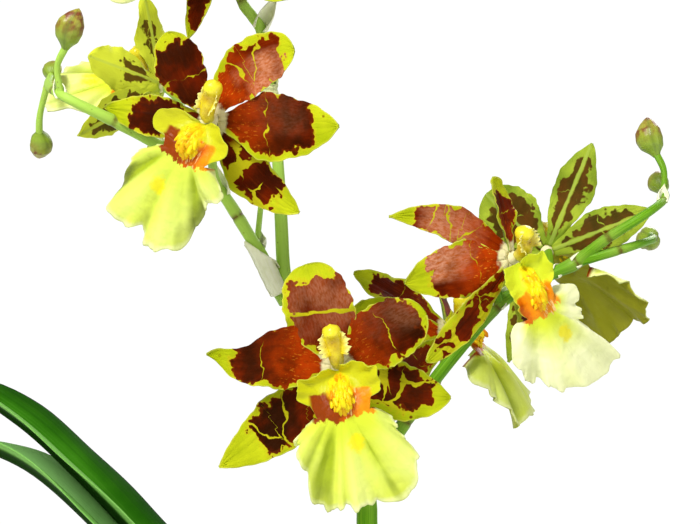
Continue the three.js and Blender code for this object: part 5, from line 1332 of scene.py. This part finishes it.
def build_buds():
    parts = Parts("place", "around", "seam")
    t = np.linspace(0, 1, 26)[:, None]
    angle = once_round(24)
    outline = np.interp(t, [0, 0.1, 0.25, 0.45, 0.65, 0.85, 0.96, 1],
                        [0.24, 0.42, 0.84, 1.0, 0.93, 0.55, 0.22, 0.03])
    for index, (*root, wx, wy, wz, length, radius) in enumerate(BUDS):
        axes = axes_towards((wx, wy, wz))
        seam = (np.cos(1.5 * angle + index) ** 2) ** 24
        swell = 1 - 0.10 * seam * np.sin(math.pi * t) + 0.04 * np.cos(3 * angle + index)
        fat = outline * radius * swell
        bend = 0.06 * length * np.sin(math.pi * t)
        grid = root + grid_of(fat * np.cos(angle) + bend, fat * np.sin(angle), t * length) @ axes.T
        tip = root + axes @ (0, 0, length * 1.01)
        add_rings(parts, grid, dict(place=t, around=angle, seam=seam * 0.6), last=tip)
    dress(parts.piece("spike_buds", BUD), "stem")


PAPER = 0.14  # half the thickness of the papery tissue, mm


def build_bracts():
    parts = Parts("along", "around", "seed", "ragged")
    t = np.linspace(0, 1, 20)[:, None]
    q = np.linspace(-1, 1, 17)
    # clasps the stem at its foot, then opens into a boat-shaped point
    spread = np.interp(t, [0, 0.25, 0.6, 1], [2.5, 2.2, 1.5, 0.7])
    outline = np.interp(t, [0, 0.2, 0.45, 0.8, 1], [1.0, 1.05, 0.95, 0.45, 0.04])
    for index, (*root, wx, wy, wz, length, radius) in enumerate(BRACTS):
        wide = outline * radius
        lean = 0.18 * length * t ** 2
        local = grid_of(wide * np.sin(spread * q), -wide * np.cos(spread * q) - lean + wide * 0.2,
                        t * length * (1 - 0.05 * q ** 2))
        values = dict(along=t * length, around=q, seed=index * 1.3, ragged=t ** 4)
        add_sheet(parts, root + local @ axes_towards((wx, wy, wz)).T, PAPER, PAPER, values)
    dress(parts.piece("spike_bracts", CREAM), "sheath")


LONG_SHEATH = 3


def build_sheaths():
    rings, sides = 40, 40
    angle = 2 * math.pi * (np.arange(sides) / (sides - 1))
    for index, (stations, start, stop) in enumerate(SHEATHS):
        long = index == LONG_SHEATH
        parts = Parts("along", "around", "seed", "ragged")
        path, length = spline(stations, rings, start, stop)
        reach = length * (stop - start)
        t = np.linspace(0, 1, rings)[:, None]
        tangent, one, two = frames_along(path[:, :3])
        gap = smooth((t - 0.35) / 0.65) * 0.55
        opened = angle * (1 - gap / (2 * math.pi)) + gap / 2
        flare = 0.55 * smooth((t - 0.55) / 0.45) + 0.12 * np.sin(t * 30 + index)
        flare = path[:, 3:] + 0.55 + (0.35 if long else 1.0) * flare
        lapped = flare + 0.30 * (angle / (2 * math.pi))
        ribs = 1 + 0.015 * np.cos(16 * angle)
        # the free edge is torn and pointed on one side
        trim = 0.34 * (0.5 - 0.5 * np.cos(angle + 1.1)) + 0.012 * np.sin(angle * 9 + index)
        if long:
            left = np.array([-0.94, -0.34, 0.0])
            point = math.atan2(two[-1] @ left, one[-1] @ left)
            trim = 0.66 * (0.5 - 0.5 * np.cos(angle - point)) ** 0.8
        slide = -trim * t ** 3 * reach
        grid = path[:, None, :3] + tangent[:, None] * slide[..., None] \
            + (lapped * ribs)[..., None] * outward(opened, one, two)
        values = dict(along=t * reach, around=angle, seed=index * 2.1, ragged=t ** 10)
        add_sheet(parts, grid, 0.13, 0.13, values)
        piece = parts.piece("sheath_%d_paper" % (index + 1), CREAM if long else SHEATH)
        dress(piece, "sheath", "sheath_%d" % (index + 1))


build_stems()
build_buds()
build_bracts()
build_sheaths()


# ------------------------------------------------------------------ leaves
YOUNG = (0.15, 0.95, 0.0, 0.1, 0.5, 0.6, 0.05, 0.0, 0.45)  # how fresh the green of each leaf is


def build_leaves():
    rows, columns = 90, 33
    t = np.linspace(0, 1, rows)[:, None]
    v = np.linspace(-1, 1, columns)
    a = np.abs(v)
    for index, (width, fold, rise, stations) in enumerate(LEAVES):
        parts = Parts("across", "along", "seed", "v", "from_tip", "young", "back")
        keel, length = spline(stations, rows)
        tangent = np.gradient(keel, axis=0)
        tangent /= np.linalg.norm(tangent, axis=1, keepdims=True)
        across = np.cross(tangent, np.array(rise, float))
        across /= np.linalg.norm(across, axis=1, keepdims=True)
        up = np.cross(across, tangent)
        opening = 0.15 + 0.17 * smooth(t / 0.05) + 0.68 * smooth(t / 0.35)
        half = np.maximum(width / 2 * opening * (1 - t ** 3.4) ** 0.9, 0.35)
        lifted = np.radians(55 + 18 * (1 - smooth(t / 0.08)) + (fold - 55) * smooth(t / 0.4))
        # each half rises from the keel and rolls slightly back at its edge
        swell = np.sin(a * math.pi) * 0.05 * half
        wave = 0.022 * width * np.sin(t * 19 + index * 2) * np.sign(v) * a ** 2
        wave = wave + 0.012 * width * np.sin(t * 43 + index) * a ** 3
        up_way = half * np.sin(lifted) * a + swell + wave * smooth(t / 0.3)
        up_way = up_way - 0.5 * np.exp(-(v / 0.05) ** 2) * smooth(t / 0.1) * (1 - t)
        side_way = half * np.cos(lifted) * v
        grid = keel[:, None] + across[:, None] * side_way[..., None] + up[:, None] * up_way[..., None]
        values = dict(across=half * v, along=t * length, seed=index * 4.7, v=v, from_tip=(1 - t) * length,
                      young=YOUNG[index])
        body = 0.62 * (1 - a ** 5) * (1 - 0.4 * t) + 0.12
        rib = 0.8 * np.exp(-(v / 0.08) ** 2) * (1 - 0.7 * t)
        add_sheet(parts, grid, body, body + rib, values, back=(0.0, 1.0))
        dress(parts.piece("leaf_%d_blade" % (index + 1), LEAF), "leaf", "leaf_%d" % (index + 1))


# ------------------------------------------------------------------ bulbs, rhizome, roots
# a papery scale round a bulb's foot: turn, height as a part of the bulb's, half the angle it spans
SCALES = ((0.3, 0.46, 1.5), (3.3, 0.36, 1.4), (1.7, 0.24, 1.2), (4.9, 0.2, 1.1))


def bulb_radius(t):
    knots, _ = spline(BULB_PROFILE, 300)
    return np.interp(t, np.maximum.accumulate(knots[:, 1]), np.clip(knots[:, 0], 0, None))


def build_bulbs():
    t = 0.5 - 0.5 * np.cos(np.linspace(0, math.pi, 64))[:, None]
    angle = once_round(96)
    s = np.linspace(0, 1, 22)[:, None]
    q = np.linspace(-1, 1, 27)
    for index, (x, y, height, width, thick, turn) in enumerate(BULBS):
        axes = about_z(math.radians(turn))
        root = np.array([x, y, BULB_BASE])
        ridges = 0.5 + 0.5 * np.cos(11 * angle + index * 1.7 + 0.6 * np.sin(angle * 2))
        depth = (0.075 + 0.02 * index / 4) * np.sin(math.pi * np.clip(t * 1.02, 0, 1)) ** 0.6
        wrinkle = 0.008 * np.sin(17 * t + 3 * np.cos(3 * angle) + index)
        radius = bulb_radius(t) * (1 - depth * (1 - ridges) ** 1.4 + wrinkle)
        local = grid_of(radius * np.cos(angle) * width / 2, radius * np.sin(angle) * thick / 2, t * height)
        parts = Parts("place", "ridge")
        add_rings(parts, root + local @ axes.T, dict(place=t, ridge=ridges ** 2))
        dress(parts.piece("pseudobulb_%d_skin" % (index + 1), BULB), "bulb", "pseudobulb_%d" % (index + 1))
        # dry papery scales clasp the foot of the bulb
        scales = Parts("along", "around", "seed", "ragged")
        for turned, reach, span in SCALES:
            top = 1 - 0.55 * np.abs(q) ** 1.7 + 0.03 * np.sin(q * 13 + index) + 0.02 * np.sin(q * 31)
            climb = 0.015 + s * (0.01 + reach * top)
            around = turned + index + span * q * (1 - 0.45 * s)
            proud = 0.5 + 0.7 * s ** 2 + 0.35 * np.sin(around * 5 + s * 3) * s
            shape = bulb_radius(climb)
            local = grid_of(np.cos(around) * (shape * width / 2 + proud),
                            np.sin(around) * (shape * thick / 2 + proud), climb * height)
            values = dict(along=climb * height, around=around * 2.0, seed=index + turned, ragged=s ** 6)
            add_sheet(scales, root + local @ axes.T, PAPER, PAPER, values)
        dress(scales.piece("pseudobulb_%d_scales" % (index + 1), SCALE), "sheath")


def build_roots():
    parts = Parts("along", "woody")
    for stations in (RHIZOME, RHIZOME_BRANCH):
        path, length = spline(stations, len(stations) * RINGS_A_POINT)
        t = np.linspace(0, 1, len(path))
        blunt = np.sqrt(np.clip(np.sin(math.pi * t) * 6, 0.05, 1))
        radius = path[:, 3] * (1 + 0.05 * np.sin(t * length * 0.7)) * blunt
        add_tube(parts, path[:, :3], radius, 28, dict(along=t * length, woody=1.0),
                 lambda t, a: 1 + 0.03 * np.cos(3 * a + 20 * t))
    for index, stations in enumerate(ROOTS):
        path, length = spline(stations, 70)
        t = np.linspace(0, 1, len(path))
        wander = np.stack([np.sin(t * 14 + index), np.cos(t * 11 + index * 2), 0.3 * np.sin(t * 17)], 1)
        line = path[:, :3] + wander * 0.7 * np.sin(math.pi * t)[:, None]
        add_tube(parts, line, path[:, 3] * (1 + 0.06 * np.sin(t * 37 + index)), 18, dict(along=t * length))
    dress(parts.piece("rhizome_and_roots", ROOT), "root", "rhizome_roots")


# ------------------------------------------------------------------ bark and pot
BARK_GAP = 0.6  # between the bark and the pot's wall, mm
CHIPS = 210
CHIP_TRIES = 4000
CHIP_CUTS = 5
DRAINS = 4
DRAIN_RADIUS = 5
DRAIN_RING = 26


def pot_inner_radius(z):
    foot, top = POT_FOOT_RADIUS - POT_WALL + 1, POT_TOP_RADIUS - POT_WALL
    return foot + (top - foot) * (z - POT_FLOOR) / (POT_HEIGHT - 1.5 - POT_FLOOR)


def build_bed():
    """A lumpy bed under the loose chips."""
    parts = Parts("gx", "gy", "gz", "tone")
    rings, sides = 26, 96
    angle = once_round(sides)
    radius = np.linspace(0, 1, rings)[:, None] * (pot_inner_radius(BARK_TOP) - BARK_GAP)
    x, y = radius * np.cos(angle), radius * np.sin(angle)
    lumps = np.sin(x * 0.33) * np.cos(y * 0.29) + 0.6 * np.sin(x * 0.71 + 1) * np.sin(y * 0.63 + 2)
    top = grid_of(x, y, BARK_TOP - 2.0 + 0.9 * lumps).reshape(-1, 3)
    foot = pot_inner_radius(POT_FLOOR) - BARK_GAP
    low = grid_of(np.cos(angle) * foot, np.sin(angle) * foot, POT_FLOOR + 0.4)
    points = np.vstack([top, low, (0, 0, POT_FLOOR + 0.4)])
    j = np.arange(sides)
    rim = rings * sides
    floor = np.stack([rim + j, rim + (j + 1) % sides, np.full(sides, rim + sides)], -1)
    x, y, z = points.T
    quads = grid_quads(rings + 1, sides, wrap=True)[:, [1, 2, 3, 0]]
    parts.add(points, quads, dict(gx=x, gy=y, gz=z, tone=0.1), floor)
    dress(parts.piece("bark_bed", BARK), "bark", "bark_medium")


def build_chips():
    """Loose chips: bevelled, layered splinters of bark."""
    parts = Parts("gx", "gy", "gz", "tone")
    n = CHIP_CUTS
    line = np.linspace(-1, 1, n)
    u, w = np.meshgrid(line, line, indexing="ij")
    sides = np.vstack([grid_quads(n, n) + side * n * n for side in range(6)])
    placed = 0
    tries = 0
    while placed < CHIPS and tries < CHIP_TRIES:
        tries += 1
        r = math.sqrt(RNG.random()) * (pot_inner_radius(BARK_TOP) - 7.5)
        a = RNG.random() * 2 * math.pi
        x, y = r * math.cos(a), r * math.sin(a)
        if any(math.hypot(x - bulb[0], y - bulb[1]) < max(bulb[3], bulb[4]) * 0.18 for bulb in BULBS):
            continue
        size = np.array([RNG.uniform(4.5, 8.0), RNG.uniform(2.8, 5.0), RNG.uniform(1.4, 2.6)])
        spin = RNG.random() * 2 * math.pi
        tilt = RNG.normal(0, 0.28, 2)
        lean = np.array([[1, 0, tilt[0]], [0, 1, tilt[1]], [-tilt[0], -tilt[1], 1]])
        turn = about_z(spin) @ (lean / np.linalg.norm(lean, axis=0))
        shear = RNG.normal(0, 0.22, 4)
        level = BARK_TOP - 0.6 + RNG.uniform(-1.6, 2.0)
        seed = RNG.random() * 60
        tone = RNG.random()
        shapes = []
        for axis in range(3):
            for sign in (-1, 1):
                face = np.zeros((n, n, 3))
                face[..., axis] = sign
                face[..., (axis + 1) % 3] = u
                face[..., (axis + 2) % 3] = w * sign
                shapes.append(face.reshape(-1, 3))
        shape = np.vstack(shapes)
        # rounded corners, then bent, sheared and chipped
        shape *= np.prod(1 - 0.16 * np.clip(np.abs(shape) - 0.5, 0, 1) ** 2, axis=1)[:, None]
        shape[:, 0] += shear[0] * shape[:, 1] + shear[1] * shape[:, 2]
        shape[:, 1] *= 1 + shear[2] * shape[:, 0]
        shape[:, 2] *= 1 + shear[3] * shape[:, 0]
        shape[:, 2] += 0.18 * np.sin(shape[:, 0] * 3 + seed) + 0.12 * np.sin(shape[:, 1] * 5 + seed * 2)
        shape[:, 1] += 0.10 * np.sin(shape[:, 0] * 7 + seed * 3)
        shape *= size
        values = dict(gx=shape[:, 0] + seed, gy=shape[:, 1], gz=shape[:, 2], tone=tone)
        parts.add(shape @ turn.T + np.array([x, y, level]), sides, values)
        placed += 1
    dress(parts.piece("bark_chips", BARK), "bark")


def pot_profile():
    """Radius and height, from the middle of the foot round the rim to the middle of the floor."""
    height, foot, top, rim = POT_HEIGHT, POT_FOOT_RADIUS, POT_TOP_RADIUS, POT_RIM_RADIUS
    rim_foot = height - POT_RIM_HEIGHT
    inner_foot, inner_top = foot - POT_WALL + 1, top - POT_WALL
    profile = [(0, 0), (foot - 3, 0), (foot - 1, 0.5), (foot, 2.2)]
    for k in range(1, 24):
        wave = 0.12 * math.sin(k * 1.9)
        profile.append((foot + (top - foot) * k / 24 + wave, 2.2 + (rim_foot - 2.2) * k / 24))
    profile += [
        (top, rim_foot - 0.8), (top + 0.6, rim_foot - 0.1), (rim - 2, rim_foot), (rim - 0.5, rim_foot + 0.5),
        (rim, rim_foot + 2), (rim - 0.15, rim_foot + 7), (rim, rim_foot + 13), (rim, height - 3),
        (rim - 0.8, height - 1), (rim - 2.6, height), (inner_top + 2.6, height),
        (inner_top + 0.8, height - 0.9), (inner_top, height - 3)]
    for k in range(1, 13):
        z = height - 3 + (POT_FLOOR + 2 - height + 3) * k / 13
        profile.append((inner_top + (inner_foot - inner_top) * k / 13, z))
    return profile + [(inner_foot - 0.4, POT_FLOOR + 0.6), (inner_foot - 2.5, POT_FLOOR), (0, POT_FLOOR)]


def build_pot():
    sides = 128
    angle = once_round(sides)
    radius, z = np.array(pot_profile()[1:-1], float).T[..., None]
    wobble = 1 + 0.0012 * np.sin(2 * angle + 0.7)
    wall = grid_of(radius * np.cos(angle) * wobble, radius * np.sin(angle) * wobble, z)
    points = np.vstack([wall.reshape(-1, 3), [0, 0, 0], [0, 0, POT_FLOOR]])
    quads = grid_quads(len(wall), sides, wrap=True)[:, ::-1]
    j = np.arange(sides)
    following = (j + 1) % sides
    first = len(wall) * sides
    last = first - sides
    tris = np.concatenate([np.stack([np.full(sides, first), following, j], -1),
                           np.stack([np.full(sides, first + 1), last + j, last + following], -1)])
    parts = Parts()
    parts.add(points, quads, {}, tris)
    piece = parts.piece("pot_body", CLAY)
    for k in range(DRAINS):
        around = 2 * math.pi * (k + 0.5) / DRAINS
        at = (DRAIN_RING * MM * math.cos(around), DRAIN_RING * MM * math.sin(around), 0)
        bpy.ops.mesh.primitive_cylinder_add(
            vertices=32, radius=DRAIN_RADIUS * MM, depth=30 * MM, location=at)
        drain = bpy.context.object
        cut = piece.modifiers.new("drain", "BOOLEAN")
        cut.operation = "DIFFERENCE"
        cut.object = drain
        cut.solver = "EXACT"
        bpy.context.view_layer.objects.active = piece
        bpy.ops.object.modifier_apply(modifier=cut.name)
        bpy.data.objects.remove(drain, do_unlink=True)
    dress(piece, "clay", "pot")


build_leaves()
build_bulbs()
build_roots()
build_bed()
build_chips()
build_pot()

# ------------------------------------------------------------------ stage, light and camera
scene = bpy.context.scene
bpy.ops.mesh.primitive_circle_add(vertices=96, radius=2.4, fill_type="NGON", location=(0, 0, 0))
floor = bpy.context.object
floor.name = "floor"
paper = Shader("pale_floor", Roughness=0.7, Emission_Color=(1, 1, 1, 1))
mottle = paper.mix(paper.noise(paper.place(), 3.0), (0.86, 0.86, 0.85, 1), (0.9, 0.9, 0.89, 1))
paper.put(paper.surface["Base Color"], mottle)
# the floor brightens away from the pot, so that it meets the white world without an edge
far = paper.add("ShaderNodeVectorMath", "Value", {0: paper.place()}, operation="LENGTH")
paper.put(paper.surface["Emission Strength"], far.step(0.55, 1.7, 0.08, 0.66))
floor.data.materials.append(paper.material)

world = bpy.data.worlds.new("white")
scene.world = world
world.use_nodes = True
nodes = world.node_tree.nodes
links = world.node_tree.links
background = nodes["Background"]
background.inputs["Color"].default_value = (1, 1, 1, 1)
path = nodes.new("ShaderNodeLightPath")
level = nodes.new("ShaderNodeMapRange")
level.inputs["To Min"].default_value = 0.34
level.inputs["To Max"].default_value = 1.05
links.new(path.outputs["Is Camera Ray"], level.inputs["Value"])
links.new(level.outputs["Result"], background.inputs["Strength"])


def area_light(name, at, towards, size, power, tint):
    data = bpy.data.lights.new(name, "AREA")
    data.energy = power
    data.size = size
    data.color = tint
    light = bpy.data.objects.new(name, data)
    scene.collection.objects.link(light)
    light.location = at
    light.rotation_euler = (Vector(towards) - Vector(at)).to_track_quat("-Z", "Y").to_euler()


area_light("key", (-0.5, -0.85, 1.35), (0, 0, 0.43), 0.45, 20, (1.0, 0.98, 0.95))
area_light("fill", (1.1, -0.9, 0.6), (0, 0, 0.42), 0.9, 3.5, (0.97, 0.98, 1.0))
area_light("rim", (0.5, 1.1, 1.2), (0, 0, 0.43), 0.7, 9, (1.0, 1.0, 1.0))

camera_data = bpy.data.cameras.new("camera")
camera_data.sensor_width = 36
camera_data.lens = 36 * 2000 / 700
camera = bpy.data.objects.new("camera", camera_data)
camera.location = (0, -0.6, 0.43)
camera.rotation_euler = (math.pi / 2, 0, 0)
scene.collection.objects.link(camera)
scene.camera = camera
scene.view_settings.view_transform = "Standard"
scene.view_settings.look = "None"
